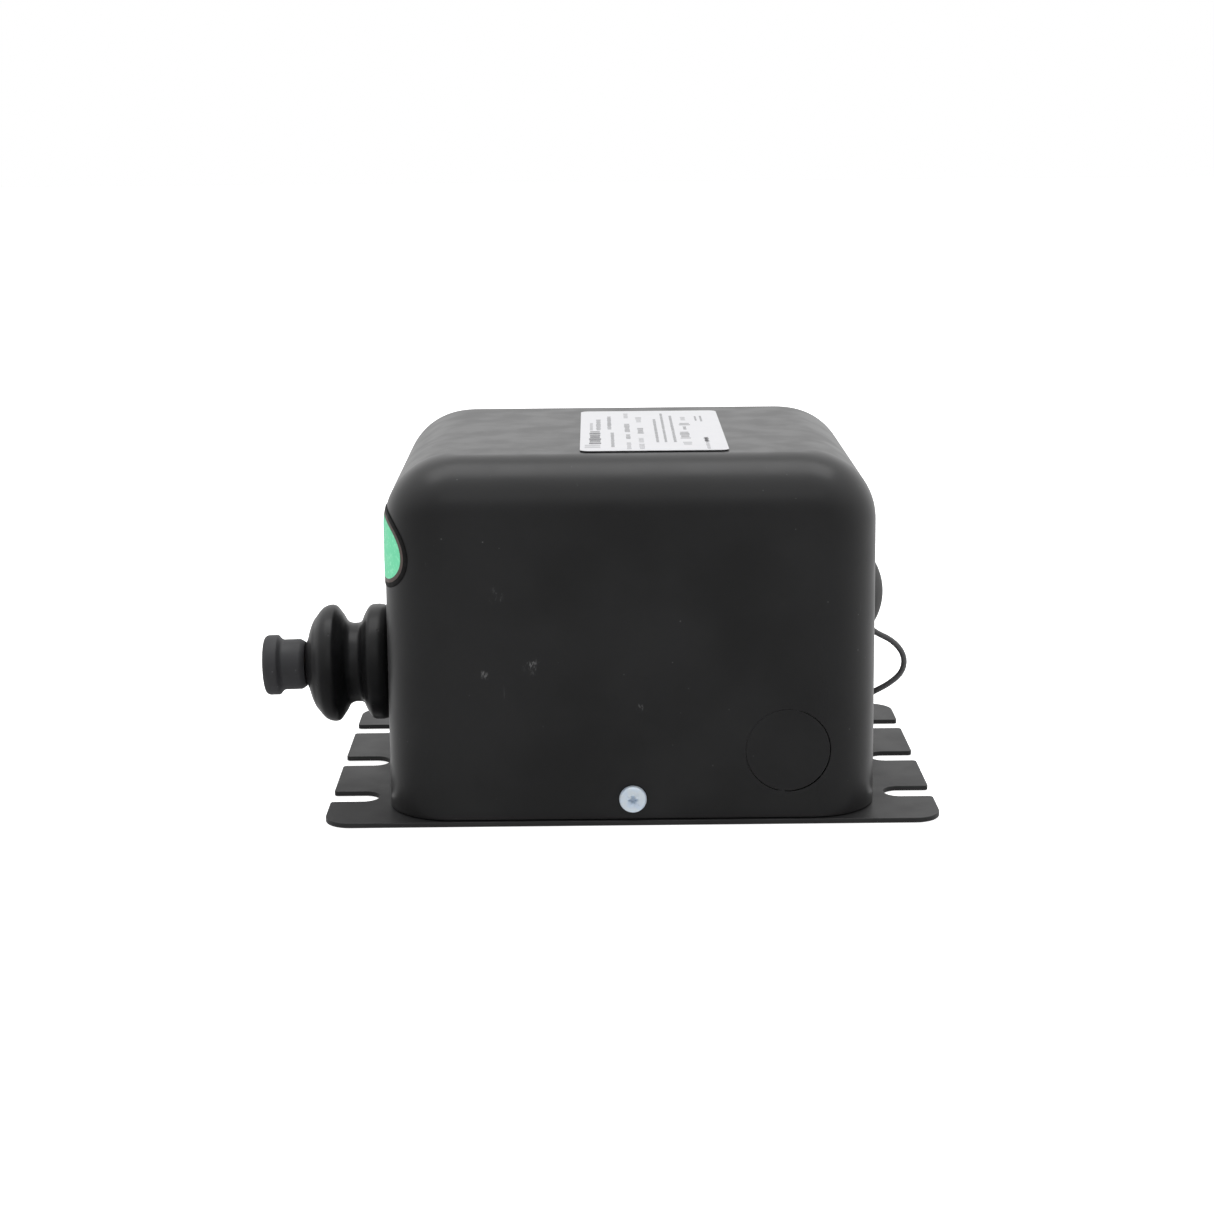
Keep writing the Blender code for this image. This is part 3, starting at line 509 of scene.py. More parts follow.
def combine(thing, others, operation):
    for other in others:
        change = thing.modifiers.new(other.name, "BOOLEAN")
        change.operation = operation
        change.solver = "EXACT"
        change.object = other


def settle(thing, helpers=()):
    """Turns a piece's modifiers into plain mesh and removes the shapes they used."""
    graph = bpy.context.evaluated_depsgraph_get()
    mesh = bpy.data.meshes.new_from_object(thing.evaluated_get(graph))
    thing.modifiers.clear()
    old, thing.data = thing.data, mesh
    bpy.data.meshes.remove(old)
    mesh.name = thing.name
    for helper in helpers:
        bpy.data.meshes.remove(helper.data)


def soften_edges(thing, width, segments, limit=40):
    bevel = thing.modifiers.new("edges", "BEVEL")
    bevel.width = width
    bevel.segments = segments
    bevel.limit_method = "ANGLE"
    bevel.angle_limit = math.radians(limit)
    bevel.miter_outer = "MITER_ARC"


def weigh_normals(thing):
    weighted = thing.modifiers.new("flat walls", "WEIGHTED_NORMAL")
    weighted.keep_sharp = True
    weighted.weight = 90


def drill(name, radius, start, end, matrix, sides=64):
    """A round cutter along a matrix's axis."""
    bm = bmesh.new()
    slab(bm, arc((0, 0), radius, 0, 360 * (1 - 1 / sides), sides - 1), start, end)
    bm.transform(matrix)
    return new_cutter(name, bm)


def wall_x(height):
    case = settings("case")
    return case.width / 2 - case.draft * height


def wall_y(height):
    case = settings("case")
    return case.depth / 2 - case.draft * height


def turned_in(height, inset, shoulder):
    """How far a wall has turned in at a height, on the radius between it and the roof."""
    rise = max(0.0, height - (settings("case").top - shoulder))
    reach = shoulder - inset
    return reach - math.sqrt(max(0.0, reach ** 2 - rise ** 2))


def can_section(height, inset=0.0):
    """Half width, half depth and corner radius of the can at a height, moved in by inset."""
    case = settings("case")
    side = turned_in(height, inset, case.shoulder)
    upright = 1 - side / (case.shoulder - inset)
    return (wall_x(height) - inset - side,
            wall_y(height) - inset - turned_in(height, inset, case.front_shoulder),
            case.roof_corner + (case.corner - inset - case.roof_corner) * upright)


def bushing_line():
    look = settings("bushing")
    outward = (-math.cos(look.droop), 0, -math.sin(look.droop))
    return axis_matrix((-wall_x(look.height), 0, look.height), outward)


def paint(node, finish):
    """Puts a finish on a CAD node that stays in view."""
    thing = NODES[node]
    if not thing.material_slots:
        thing.data.materials.append(finish)
    for place in thing.material_slots:
        place.material = finish


# ---------------------------------------------------------------- operators

class MakePiece:
    """What every operator here has in common."""
    bl_options = {"REGISTER", "UNDO"}

    def execute(self, context):
        self.make(context)
        return {"FINISHED"}


class TRANSFORMER_OT_stage(MakePiece, bpy.types.Operator):
    """Floor, sky, lights and camera"""
    bl_idname = "transformer.make_stage"
    bl_label = "Stage"

    # The point that the camera looks at, in metres
    AIM = (-0.00691, 0, 0.05187)
    # The sky brightens along this direction, between these shares of it
    SKY_LEAN = (0.1, 0.7, 1.0)
    SKY_FADE = {"From Min": -0.8, "From Max": 0.9, "To Min": 0.21, "To Max": 1.0}
    # Name, place, target and size in metres, and radiance
    LAMPS = [("overhead", (0, 0.06, 0.95), (0, 0.02, 0), (1.3, 0.55), 1.6),
             ("front_fill", (0.1, -1.6, 1.0), (0, -0.06, 0.03), (1.6, 0.6), 0.25)]

    def make(self, context):
        self.camera(context)
        self.sky(context)
        self.floor()
        for lamp in self.LAMPS:
            self.lamp(*lamp)

    def camera(self, context):
        stage = settings("stage")
        yaw, pitch, roll = stage.yaw, stage.pitch, stage.roll
        ahead = Vector((math.sin(yaw) * math.cos(pitch), math.cos(yaw) * math.cos(pitch),
                        -math.sin(pitch)))
        level = Vector((math.cos(yaw), -math.sin(yaw), 0))
        upright = level.cross(ahead)
        right = level * math.cos(roll) + upright * math.sin(roll)
        up = upright * math.cos(roll) - level * math.sin(roll)
        lens = bpy.data.cameras.new("camera")
        lens.lens = stage.lens
        lens.sensor_width = 36
        lens.clip_start = 0.01
        lens.clip_end = 50
        camera = bpy.data.objects.new("camera", lens)
        turn = Matrix((right, up, -ahead)).transposed().to_4x4()
        start = Vector(self.AIM) - ahead * stage.distance
        camera.matrix_world = Matrix.Translation(start) @ turn
        context.scene.collection.objects.link(camera)
        context.scene.camera = camera

    def sky(self, context):
        """White to the eye; in reflections it is bright behind and above, and dim in front."""
        world = bpy.data.worlds.new("studio")
        context.scene.world = world
        world.use_nodes = True
        tree = world.node_tree
        tree.nodes.clear()
        nodes, links = tree.nodes, tree.links
        place = nodes.new("ShaderNodeTexCoord")
        lean = nodes.new("ShaderNodeVectorMath")
        lean.operation = "DOT_PRODUCT"
        lean.inputs[1].default_value = self.SKY_LEAN
        links.new(place.outputs["Generated"], lean.inputs[0])
        fade = nodes.new("ShaderNodeMapRange")
        fade.interpolation_type = "SMOOTHSTEP"
        for socket, value in self.SKY_FADE.items():
            fade.inputs[socket].default_value = value
        links.new(lean.outputs["Value"], fade.inputs["Value"])
        seen = nodes.new("ShaderNodeLightPath")
        glow, plain = nodes.new("ShaderNodeBackground"), nodes.new("ShaderNodeBackground")
        links.new(fade.outputs["Result"], glow.inputs["Strength"])
        choose, out = nodes.new("ShaderNodeMixShader"), nodes.new("ShaderNodeOutputWorld")
        links.new(seen.outputs["Is Camera Ray"], choose.inputs[0])
        links.new(glow.outputs[0], choose.inputs[1])
        links.new(plain.outputs[0], choose.inputs[2])
        links.new(choose.outputs[0], out.inputs["Surface"])
        glow.inputs["Color"].default_value = (1, 1, 1, 1)
        plain.inputs["Color"].default_value = (1, 1, 1, 1)
        context.scene.view_settings.view_transform = "Standard"

    def floor(self):
        bm = bmesh.new()
        bmesh.ops.create_grid(bm, x_segments=2, y_segments=2, size=4)
        bm.transform(Matrix.Translation((0, 0, -0.3 * MM)))
        floor = new_object("floor", bm)
        pale = settings("stage").floor
        made = Finish("pale_floor", pale, 0.9, Emission_Strength=0.9)
        made.shader.inputs["Emission Color"].default_value = (1, 1, 1, 1)
        made.link(made.mix(made.noise(3), pale, tuple(c * 0.98 for c in pale)), "Base Color")
        floor.data.materials.append(made.material)
        floor.visible_glossy = False

    def lamp(self, name, place, target, size, radiance):
        light = bpy.data.lights.new(name, "AREA")
        light.shape = "RECTANGLE"
        light.size, light.size_y = size
        light.energy = radiance * math.pi * size[0] * size[1]
        thing = bpy.data.objects.new(name, light)
        turn = (Vector(target) - Vector(place)).to_track_quat("-Z", "Y")
        thing.matrix_world = Matrix.Translation(place) @ turn.to_matrix().to_4x4()
        thing.visible_camera = False
        bpy.context.scene.collection.objects.link(thing)


class TRANSFORMER_OT_lead(MakePiece, bpy.types.Operator):
    """The free primary lead: its loop beside the case, its coil behind, and its bared end"""
    bl_idname = "transformer.make_lead"
    bl_label = "Primary lead"

    # The solid's route, in millimetres: out of the grommet, round its loop, down behind the case
    ROUTE = [
        (75.9, 16.0, 41.5), (78.3, 16.0, 40.7), (81.3, 16.0, 38.6), (86.0, 16.0, 36.0),
        (89.3, 16.0, 32.5), (90.4, 16.0, 28.6), (89.2, 16.0, 24.8), (85.7, 16.2, 21.5),
        (81.2, 17.2, 18.6), (77.8, 21.0, 15.6), (76.2, 28.0, 12.4), (75.8, 38.0, 9.0),
        (75.8, 48.0, 6.2), (75.4, 57.0, 4.4), (73.6, 63.6, 2.9), (70.9, 67.2, 1.5),
        (69.2, 69.6, 1.1), (68.75, 72.0, 1.0), (68.85, 74.3, 0.98),
    ]
    # The coil's whole turn and the step between its points, in degrees
    TURNS = 690
    STEP = 12

    def make(self, context):
        lead = settings("lead")
        middle = Vector((lead.coil_across, lead.coil_back, lead.diameter / 2))
        route = [Vector(p) * MM for p in self.ROUTE]
        for angle in range(0, self.TURNS + 1, self.STEP):
            reach = lead.coil_radius - lead.coil_step * angle / 360
            turn = math.radians(angle)
            route.append(middle + Vector((reach * math.cos(turn), reach * math.sin(turn), 0)))
        points = spline_through(route, 3)
        line = bpy.data.curves.new("primary_lead_wire", "CURVE")
        line.dimensions = "3D"
        line.bevel_depth = lead.diameter / 2
        line.bevel_resolution = 5
        line.use_fill_caps = True
        spline = line.splines.new("POLY")
        spline.points.add(len(points) - 1)
        for target, point in zip(spline.points, points):
            target.co = (*point, 1)
        wire = bpy.data.objects.new("primary_lead_wire", line)
        context.scene.collection.objects.link(wire)
        insulation = moulded("lead_insulation", lead.insulation, 0.42, 1800, 0.01 * MM)
        fit(wire, insulation, ["primary_lead", "primary_lead_coil"])
        strands = self.strands(points[-1], (points[-1] - points[-2]).normalized())
        fit(strands, turned_metal("bare_copper", lead.copper, 0.3),
            ["primary_lead_copper"])

    def strands(self, start, heading):
        """Seven twisted strands that leave the insulation and straighten out."""
        bm = bmesh.new()
        long, lay, thin = 7.4 * MM, 0.32 * MM, 0.16 * MM
        steps, sides = 28, 8
        for strand in range(7):
            offset = 0 if strand == 6 else lay
            rings = []
            for i in range(steps + 1):
                share = i / steps
                ahead = heading.lerp(Vector((-0.04, 1, 0)), min(1, share * 3)).normalized()
                side = Vector((ahead.y, -ahead.x, 0))
                centre = start + ahead * (long * share - 0.8 * MM)
                twist = math.tau * (strand / 6 + share * 0.9)
                centre += offset * (side * math.cos(twist) + Vector((0, 0, math.sin(twist))))
                rings.append([centre + thin * (side * math.cos(math.tau * k / sides)
                                               + Vector((0, 0, math.sin(math.tau * k / sides))))
                              for k in range(sides)])
            skin(bm, rings)
        return new_object("primary_lead_strands", bm)


class TRANSFORMER_OT_case(MakePiece, bpy.types.Operator):
    """The drawn steel can"""
    bl_idname = "transformer.make_case"
    bl_label = "Case"

    # Scuffs on the front wall: middle and reach, in millimetres
    SCUFFS = [((-39.6, -61.6, 70), 3), ((-29.3, -61.7, 48.7), 3.2), ((-43, -61.7, 46.4), 2),
              ((2.2, -61.8, 35.9), 1.6), ((-60, -61.5, 79.2), 1.5)]

    def ring(self, height, inset):
        return [(a, b, height) for a, b in rounded_rectangle(*can_section(height, inset), 16)]

    def make(self, context):
        case = settings("case")
        bm = bmesh.new()
        shells = []
        for inset, steps in ((0, 30), (case.wall, 10)):
            heights = [case.foot, case.foot + 0.6 * MM]
            for i in range(steps + 1):
                rise = (case.shoulder - inset) * math.sin(math.pi / 2 * i / steps)
                heights.append(case.top - case.shoulder + rise)
            shells.append([[bm.verts.new(p) for p in self.ring(height, inset)]
                           for height in heights])
        for shell in shells:
            for low, high in zip(shell, shell[1:]):
                band(bm, low, high)
            bm.faces.new(shell[-1])
        band(bm, shells[1][0], shells[0][0])
        can = new_object("case_can", bm, 30)
        cutters = self.holes()
        combine(can, cutters, "DIFFERENCE")
        soften_edges(can, 0.18 * MM, 2, 50)
        weigh_normals(can)
        settle(can, cutters)
        scuffs = [(tuple(c * MM for c in point), reach * MM) for point, reach in self.SCUFFS]
        black = enamel("case_enamel", case.enamel, case.sheen, CASE_PEEL, scuffs)
        fit(can, black, ["case_cover"])

    def holes(self):
        case, screw, knockout = settings("case"), settings("screws"), settings("knockout")
        bushing, fitting = settings("bushing"), settings("fittings")
        through = axis_matrix((0, 0, screw.height), (0, -1, 0))
        front = axis_matrix((knockout.across, 0, knockout.height), (0, -1, 0))
        plug = axis_matrix((0, 0, fitting.plug_height), (1, 0, 0))
        lead = axis_matrix((0, fitting.lead_back, fitting.lead_height), (1, 0, 0))
        return [
            drill("screw_holes", screw.shank + PLAY, -case.depth, case.depth, through, 24),
            drill("knockout_hole", knockout.radius + knockout.gap, case.depth / 4, case.depth,
                  front, 96),
            drill("bushing_hole", bushing.body + 0.8 * MM, -10 * MM, 10 * MM, bushing_line()),
            drill("plug_hole", fitting.plug_hole, case.width / 4, case.width, plug),
            drill("lead_hole", fitting.lead_hole, case.width / 4, case.width, lead, 32),
        ]


class TRANSFORMER_OT_base(MakePiece, bpy.types.Operator):
    """The slotted base plate with its two bent-up screw tabs"""
    bl_idname = "transformer.make_base"
    bl_label = "Base plate"

    def outline(self):
        base = settings("base")
        half_x, half_y, half_slot = base.length / 2, base.depth / 2, base.slot_width / 2
        side = arc((half_x - base.corner, base.corner - half_y), base.corner, -90, 0, 14)
        mouth_x = half_x - base.slot_mouth
        for middle in (-base.slot_pitch, 0, base.slot_pitch):
            low, high = middle - half_slot, middle + half_slot
            side += arc((mouth_x, low - base.slot_mouth), base.slot_mouth, 0, 90, 6)
            side += arc((base.slot_end + half_slot, middle), half_slot, 270, 90, 24)
            side += arc((mouth_x, high + base.slot_mouth), base.slot_mouth, -90, 0, 6)
        side += arc((half_x - base.corner, half_y - base.corner), base.corner, 0, 90, 14)
        return side + [(-a, -b) for a, b in side]

    def make(self, context):
        base, case, screw = settings("base"), settings("case"), settings("screws")
        bm = bmesh.new()
        slab(bm, self.outline(), 0, base.thickness)
        plate = new_object("base_sheet", bm)
        inner = wall_y(screw.height) - case.wall - PLAY
        half_tab = 7.5 * MM
        tabs = []
        for side in (-1, 1):
            bm = bmesh.new()
            slab(bm, rounded_rectangle(8 * MM, half_tab, 3 * MM), 0, base.thickness)
            bm.transform(Matrix.Translation((0, side * inner, base.thickness / 2 + half_tab))
                         @ Matrix.Rotation(math.radians(90 * side), 4, "X"))
            tabs.append(new_cutter("tab" + str(side), bm))
        hole = drill("tab_holes", screw.shank + PLAY, -base.depth, base.depth,
                     axis_matrix((0, 0, screw.height), (0, -1, 0)), 24)
        combine(plate, tabs, "UNION")
        combine(plate, [hole], "DIFFERENCE")
        soften_edges(plate, 0.28 * MM, 3)
        weigh_normals(plate)
        settle(plate, tabs + [hole])
        satin = enamel("base_enamel", base.enamel, base.sheen, 0.012 * MM)
        fit(plate, satin, ["base_plate"])
        for node in ("core_bracket_front", "core_bracket_rear"):
            paint(node, satin)


class TRANSFORMER_OT_knockout(MakePiece, bpy.types.Operator):
    """The blank in the front wall's conduit opening, held by two ties"""
    bl_idname = "transformer.make_knockout"
    bl_label = "Knock-out"

    # Where the ties are, in degrees round the blank, and its shift off the hole's middle
    TIES = (78, 262)
    SHIFT = (-0.14 * MM, 0.10 * MM)

    def make(self, context):
        knockout, case = settings("knockout"), settings("case")
        bm = bmesh.new()
        round_in = 0.12 * MM
        profile = [(0, -case.wall), (knockout.radius - round_in, -case.wall),
                   (knockout.radius, -case.wall + round_in)]
        profile += arc((knockout.radius - round_in, -round_in), round_in, 0, 90, 5)
        profile += [(knockout.radius * 0.6, 0), (0, 0)]
        turn_profile(bm, profile, 96)
        for angle in self.TIES:
            direction = Matrix.Rotation(math.radians(angle), 4, "Z")
            tie = bmesh.new()
            outline = rounded_rectangle(0.9 * MM, 0.55 * MM, 0.25 * MM, 4,
                                        (0, knockout.radius + 0.1 * MM))
            slab(tie, outline, -case.wall * 0.9, -0.06 * MM)
            tie.transform(direction @ Matrix.Rotation(math.radians(-90), 4, "Z"))
            scrap = bpy.data.meshes.new("tie")
            tie.to_mesh(scrap)
            tie.free()
            bm.from_mesh(scrap)
            bpy.data.meshes.remove(scrap)
        outer = wall_y(knockout.height) - knockout.set_in
        across, up = self.SHIFT
        line = Matrix.Translation((knockout.across + across, -outer, knockout.height + up))
        line = line @ Matrix.Rotation(math.radians(90) - case.draft, 4, "X")
        bm.transform(line @ Matrix.Rotation(math.radians(0.25), 4, "Y"))
        disc = new_object("knockout_blank", bm)
        black = enamel("knockout_enamel", case.enamel, case.sheen, CASE_PEEL)
        fit(disc, black, ["knockout_disc"])


class TRANSFORMER_OT_screws(MakePiece, bpy.types.Operator):
    """Two pan-head screws with a cross recess"""
    bl_idname = "transformer.make_screws"
    bl_label = "Cover screws"

    # Turn in degrees, half length, half width and depth in millimetres, and taper of each arm
    RECESS = [(0, 1.95, 0.6, 1.8, 0.4), (90, 1.95, 0.6, 1.8, 0.4),
              (45, 2.5, 0.08, 0.25, 0.95), (135, 2.5, 0.08, 0.25, 0.95)]

    def make(self, context):
        screw = settings("screws")
        zinc = zinc_plate("zinc_plate", screw.zinc)
        for side, where, turn in ((-1, "front", 3), (1, "rear", 31)):
            seat = wall_y(screw.height) + PLAY
            line = axis_matrix((0, side * seat, screw.height), (0, side, 0))
            line = line @ Matrix.Rotation(math.radians(turn), 4, "Z")
            thing = self.body(line, where)
            cutters = self.recess(line, where)
            combine(thing, cutters, "DIFFERENCE")
            settle(thing, cutters)
            fit(thing, zinc, ["cover_screw_" + where])
        for node in ("core_bolt_left", "core_bolt_right", "core_nut_left", "core_nut_right"):
            paint(node, zinc)

    def body(self, line, where):
        screw = settings("screws")
        pitch, depth = 0.9 * MM, 0.28 * MM
        profile = [(0, -screw.long), (screw.shank * 0.35, -screw.long),
                   (screw.shank * 0.75, -screw.long + 1.2 * MM)]
        level = -screw.long + 1.6 * MM
        while level < -pitch:
            profile += [(screw.shank - depth, level), (screw.shank, level + pitch * 0.4)]
            level += pitch * 0.8
        profile += [(screw.shank - depth, -0.3 * MM), (screw.shank, 0)]
        profile += [(screw.head - 0.25 * MM, 0), (screw.head, 0.25 * MM)]
        round_out = 1.25 * MM
        profile += arc((screw.head - round_out, screw.tall - 0.32 * MM - round_out), round_out,
                       0, 72, 9)
        profile += [(screw.head * 0.5, screw.tall - 0.13 * MM), (0, screw.tall)]
        return new_turned("cover_screw_" + where + "_body", profile, 64, line, 40)

    def recess(self, line, where):
        """A cross with tapering arms and four thin marks between them."""
        screw = settings("screws")
        cutters = []
        for turn, half, narrow, deep, shrink in self.RECESS:
            bm = bmesh.new()
            bar = rounded_rectangle(half * MM, narrow * MM, narrow * 0.7 * MM, 3)
            skin(bm, [[(a * shrink, b * 0.8, screw.tall - deep * MM) for a, b in bar],
                      [(a, b, screw.tall + 0.4 * MM) for a, b in bar]])
            bm.transform(line @ Matrix.Rotation(math.radians(turn), 4, "Z"))
            cutters.append(new_cutter("recess_" + where + str(turn), bm))
        return cutters


class TRANSFORMER_OT_rating_label(MakePiece, bpy.types.Operator):
    """The film label on the roof, with rows of plain bars in place of print"""
    bl_idname = "transformer.make_rating_label"
    bl_label = "Rating label"

    # Rows of print as shares of the label: left, right, front, rear, darkness
    ROWS = [
        (0.060, 0.145, 0.155, 0.475, 2), (0.030, 0.140, 0.065, 0.140, 0),
        (0.065, 0.090, 0.49, 0.68, 0), (0.110, 0.145, 0.49, 0.77, 1),
        (0.190, 0.220, 0.51, 0.85, 1), (0.210, 0.236, 0.08, 0.43, 1),
        (0.310, 0.345, 0.80, 0.93, 0), (0.310, 0.350, 0.44, 0.65, 1),
        (0.315, 0.350, 0.27, 0.38, 1), (0.315, 0.350, 0.03, 0.19, 0),
        (0.395, 0.440, 0.69, 0.84, 0), (0.400, 0.445, 0.40, 0.54, 1),
        (0.400, 0.440, 0.185, 0.29, 0), (0.400, 0.440, 0.03, 0.16, 0),
        (0.520, 0.542, 0.185, 0.77, 1), (0.577, 0.597, 0.185, 0.92, 1),
        (0.640, 0.662, 0.185, 0.86, 1), (0.720, 0.760, 0.73, 0.83, 0),
        (0.700, 0.785, 0.60, 0.665, 1), (0.725, 0.750, 0.49, 0.57, 1),
        (0.690, 0.765, 0.27, 0.435, 1), (0.700, 0.765, 0.12, 0.20, 0),
        (0.825, 0.840, 0.72, 0.84, 1), (0.862, 0.880, 0.70, 0.85, 1),
        (0.855, 0.880, 0.02, 0.30, 0), (0.850, 0.885, 0.19, 0.29, 1),
    ]

    def make(self, context):
        label = settings("label")
        low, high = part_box("rating_label")[0].z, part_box("rating_label")[1].z
        bm = bmesh.new()
        outline = rounded_rectangle(label.width / 2, label.depth / 2, label.corner, 12,
                                    (label.across, label.back))
        slab(bm, outline, low, high)
        sheet = new_object("rating_label_film", bm)
        soften_edges(sheet, 0.05 * MM, 2)
        weigh_normals(sheet)
        settle(sheet)
        fit(sheet, label_film("label_film", label.film), ["rating_label"])
        self.print_rows(label, high)

    def print_rows(self, label, high):
        """Each row is broken into blocks of uneven length."""
        draw = random.Random(7)
        left, front = label.across - label.width / 2, label.back - label.depth / 2
        prints = [bmesh.new() for _ in range(3)]
        for u0, u1, v0, v1, dark in self.ROWS:
            x0, x1 = left + u0 * label.width, left + u1 * label.width
            y, end = front + v0 * label.depth, front + v1 * label.depth
            tall = x1 - x0
            while y < end - 0.25 * tall:
                run = min(end - y, tall * draw.uniform(0.35, 1.5))
                inset = tall * draw.uniform(0.0, 0.12)
                corners = rounded_rectangle((tall - 2 * inset) / 2, run / 2,
                                            min(tall, run) * 0.12, 2,
                                            ((x0 + x1) / 2, y + run / 2))
                slab(prints[dark], corners, high - 0.01 * MM, high + 0.02 * MM)
                y += run + tall * draw.uniform(0.10, 0.3)
        white = label.film
        for dark, (name, share) in enumerate((("faint", 0.45), ("mid", 0.75), ("bold", 1.15))):
            ink = tuple(max(0.0, w + (i - w) * share) for w, i in zip(white, label.ink))
            rows = new_object("label_print_" + name, prints[dark])
            fit(rows, printed("ink_" + name, ink, white, 0.3))


class TRANSFORMER_OT_corner_badge(MakePiece, bpy.types.Operator):
    """The oval badge wrapped round the front left edge"""
    bl_idname = "transformer.make_corner_badge"
    bl_label = "Corner badge"

    SIDES = 120
    # Underside and top of the lowest layer above the wall, and the step to each layer on it
    LOW, HIGH, LAYER = 0.06 * MM, 0.26 * MM, 0.03 * MM
    # Rings close enough together that a layer's chords stay above the layer below
    RINGS = tuple(i / 18 for i in range(1, 18)) + (0.98, 1.0)

    def place(self, long, wide, out):
        """A point of the badge on the wall, its corner and the shoulder above them."""
        badge, case = settings("badge"), settings("case")
        cosine, sine = math.cos(badge.tilt), math.sin(badge.tilt)
        along = badge.along - long * cosine + wide * sine
        up = badge.height + long * sine + wide * cosine
        lean = max(0.0, (up - case.top + case.shoulder) / case.shoulder)
        height = min(up, case.top - case.shoulder) + case.shoulder * math.sin(lean)
        half_x, half_y, corner = can_section(height)
        angle = max(0.0, along / case.corner)
        reach = corner + out * math.cos(lean)
        return (corner - half_x - reach * math.cos(angle),
                corner - half_y - reach * math.sin(angle) - min(0.0, along),
                height + out * math.sin(lean))

    def shell(self, name, layer, half, middle=(0.0, 0.0), scales=RINGS):
        """A thin wrapped oval from rings at the given shares of its half axes."""
        bm = bmesh.new()
        top = self.HIGH + layer * self.LAYER
        edges = []
        for out in (self.LOW, top):
            rings = [[bm.verts.new(self.place(*middle, out))]]
            for scale in scales:
                lift = out - (0.12 * MM if scale == scales[-1] and out == top else 0)
                ring = []
                for i in range(self.SIDES):
                    angle = math.tau * i / self.SIDES
                    long = middle[0] + scale * half[0] * math.cos(angle)
                    wide = middle[1] + scale * half[1] * math.sin(angle)
                    ring.append(bm.verts.new(self.place(long, wide, lift)))
                rings.append(ring)
            for inner, outer in zip(rings, rings[1:]):
                band(bm, inner, outer)
            edges.append(rings[-1])
        band(bm, *edges)
        return new_object(name, bm, 50)

    def make(self, context):
        badge = settings("badge")
        # Black film under the badge shows as its rim: partly the badge's own border, partly
        # painted shadow along its edge, kept dark with low gloss
        black = printed("badge_rim_and_shadow", badge.rim_and_shadow, tuple(c * 3 for c in badge.rim_and_shadow), 0.4, 0.12)
        line = printed("badge_ring", badge.ring, tuple(c * 1.6 for c in badge.ring))
        green = printed("badge_green", badge.green, (0.30, 0.72, 0.50), 0.7)
        white = printed("badge_white", (0.72, 0.62, 0.60), badge.green, 0.2)
        rim_and_shadow, ring = badge.rim_and_shadow_width, badge.rim_and_shadow_width + badge.ring_width
        film = self.shell("corner_badge_film", 0, (badge.long, badge.wide))
        fit(film, black, ["corner_badge"])
        fit(self.shell("corner_badge_ring", 1, (badge.long - rim_and_shadow, badge.wide - rim_and_shadow)), line)
        fit(self.shell("corner_badge_field", 2, (badge.long - ring, badge.wide - ring)), green)
        mark = self.shell("corner_badge_mark", 3, (1.1 * MM, 2.7 * MM), (0.1 * MM, -4.1 * MM),
                          (0.5, 1.0))
        fit(mark, white)


class TRANSFORMER_OT_bushing(MakePiece, bpy.types.Operator):
    """The glazed two-shed insulator"""
    bl_idname = "transformer.make_bushing"
    bl_label = "Bushing"

    # Radius and distance out from the wall, in millimetres
    SHEDS = [(15.8, 2.6), (17.4, 3.1), (18.1, 4.2), (18.45, 5.6), (18.45, 7.2), (18.2, 8.6),
             (17.2, 9.6), (15.5, 10.6), (13.5, 11.5), (12.8, 12.3), (12.65, 13.2), (12.65, 14.4),
             (12.9, 15.4), (13.6, 16.4), (15.5, 17.5), (16.9, 18.5), (18.2, 19.5), (18.65, 20.5),
             (18.65, 21.6), (18.4, 22.6), (17.8, 23.8), (16.7, 24.9), (15.4, 25.9), (14.1, 26.9),
             (11.9, 27.9), (9.0, 28.8), (7.4, 29.4), (6.8, 29.7)]

    def make(self, context):
        look = settings("bushing")
        inner_end = -14 * MM
        outer = [(p.x, p.y) for p in spline_through([(r * MM, u * MM, 0)
                                                     for r, u in self.SHEDS], 4)]
        profile = [(look.bore, 29.7 * MM), (look.bore, inner_end), (9 * MM, inner_end),
                   (look.body, inner_end + 2 * MM), (look.body, 2.6 * MM)] + outer
        insulator = new_turned("bushing_porcelain", profile, look.sides, bushing_line(), 40)
        fit(insulator, glazed_porcelain("black_glaze", look.glaze), ["hv_bushing"])
        rubber = moulded("gasket_rubber", settings("fittings").rubber, 0.65, 1200, 0.02 * MM)
        brass = turned_metal("turned_brass", (0.70, 0.50, 0.20), 0.28)
        paint("bushing_gasket", rubber)
        paint("bushing_ring_nut", moulded("nut_nylon", (0.72, 0.67, 0.57), 0.5, 900, 0.01 * MM))
        paint("hv_stud", brass)
        paint("terminal_nut", brass)
        paint("hv_lead", moulded("silicone_sleeve", (0.50, 0.05, 0.04), 0.5, 1500, 0.01 * MM))


class TRANSFORMER_OT_terminal_cap(MakePiece, bpy.types.Operator):
    """The moulded cap that pulls off the high-voltage terminal"""
    bl_idname = "transformer.make_terminal_cap"
    bl_label = "Terminal cap"

    # Radius and distance out from the wall, in millimetres
    PROFILE = [(0, 40.4), (4.2, 40.4), (4.4, 40.2), (4.4, 30.2), (4.6, 30.0), (7.0, 30.0),
               (7.2, 30.2), (7.9, 31.3), (8.05, 31.8), (8.05, 36.8), (8.2, 37.3), (8.5, 37.7),
               (9.2, 38.3), (9.5, 38.6), (9.6, 38.9), (9.6, 41.4), (9.57, 41.8), (9.45, 42.2),
               (9.0, 42.8), (8.6, 43.0), (8.2, 43.1), (4.0, 43.25), (0, 43.3)]

    def make(self, context):
        look = settings("bushing")
        profile = [(r * MM, u * MM) for r, u in self.PROFILE]
        cap = new_turned("terminal_cap_moulding", profile, look.sides, bushing_line(), 30)
        dark = moulded("cap_moulding", look.cap, 0.55, 1400, 0.02 * MM)
        fit(cap, dark, ["hv_terminal_cap"], CAP_BODY)


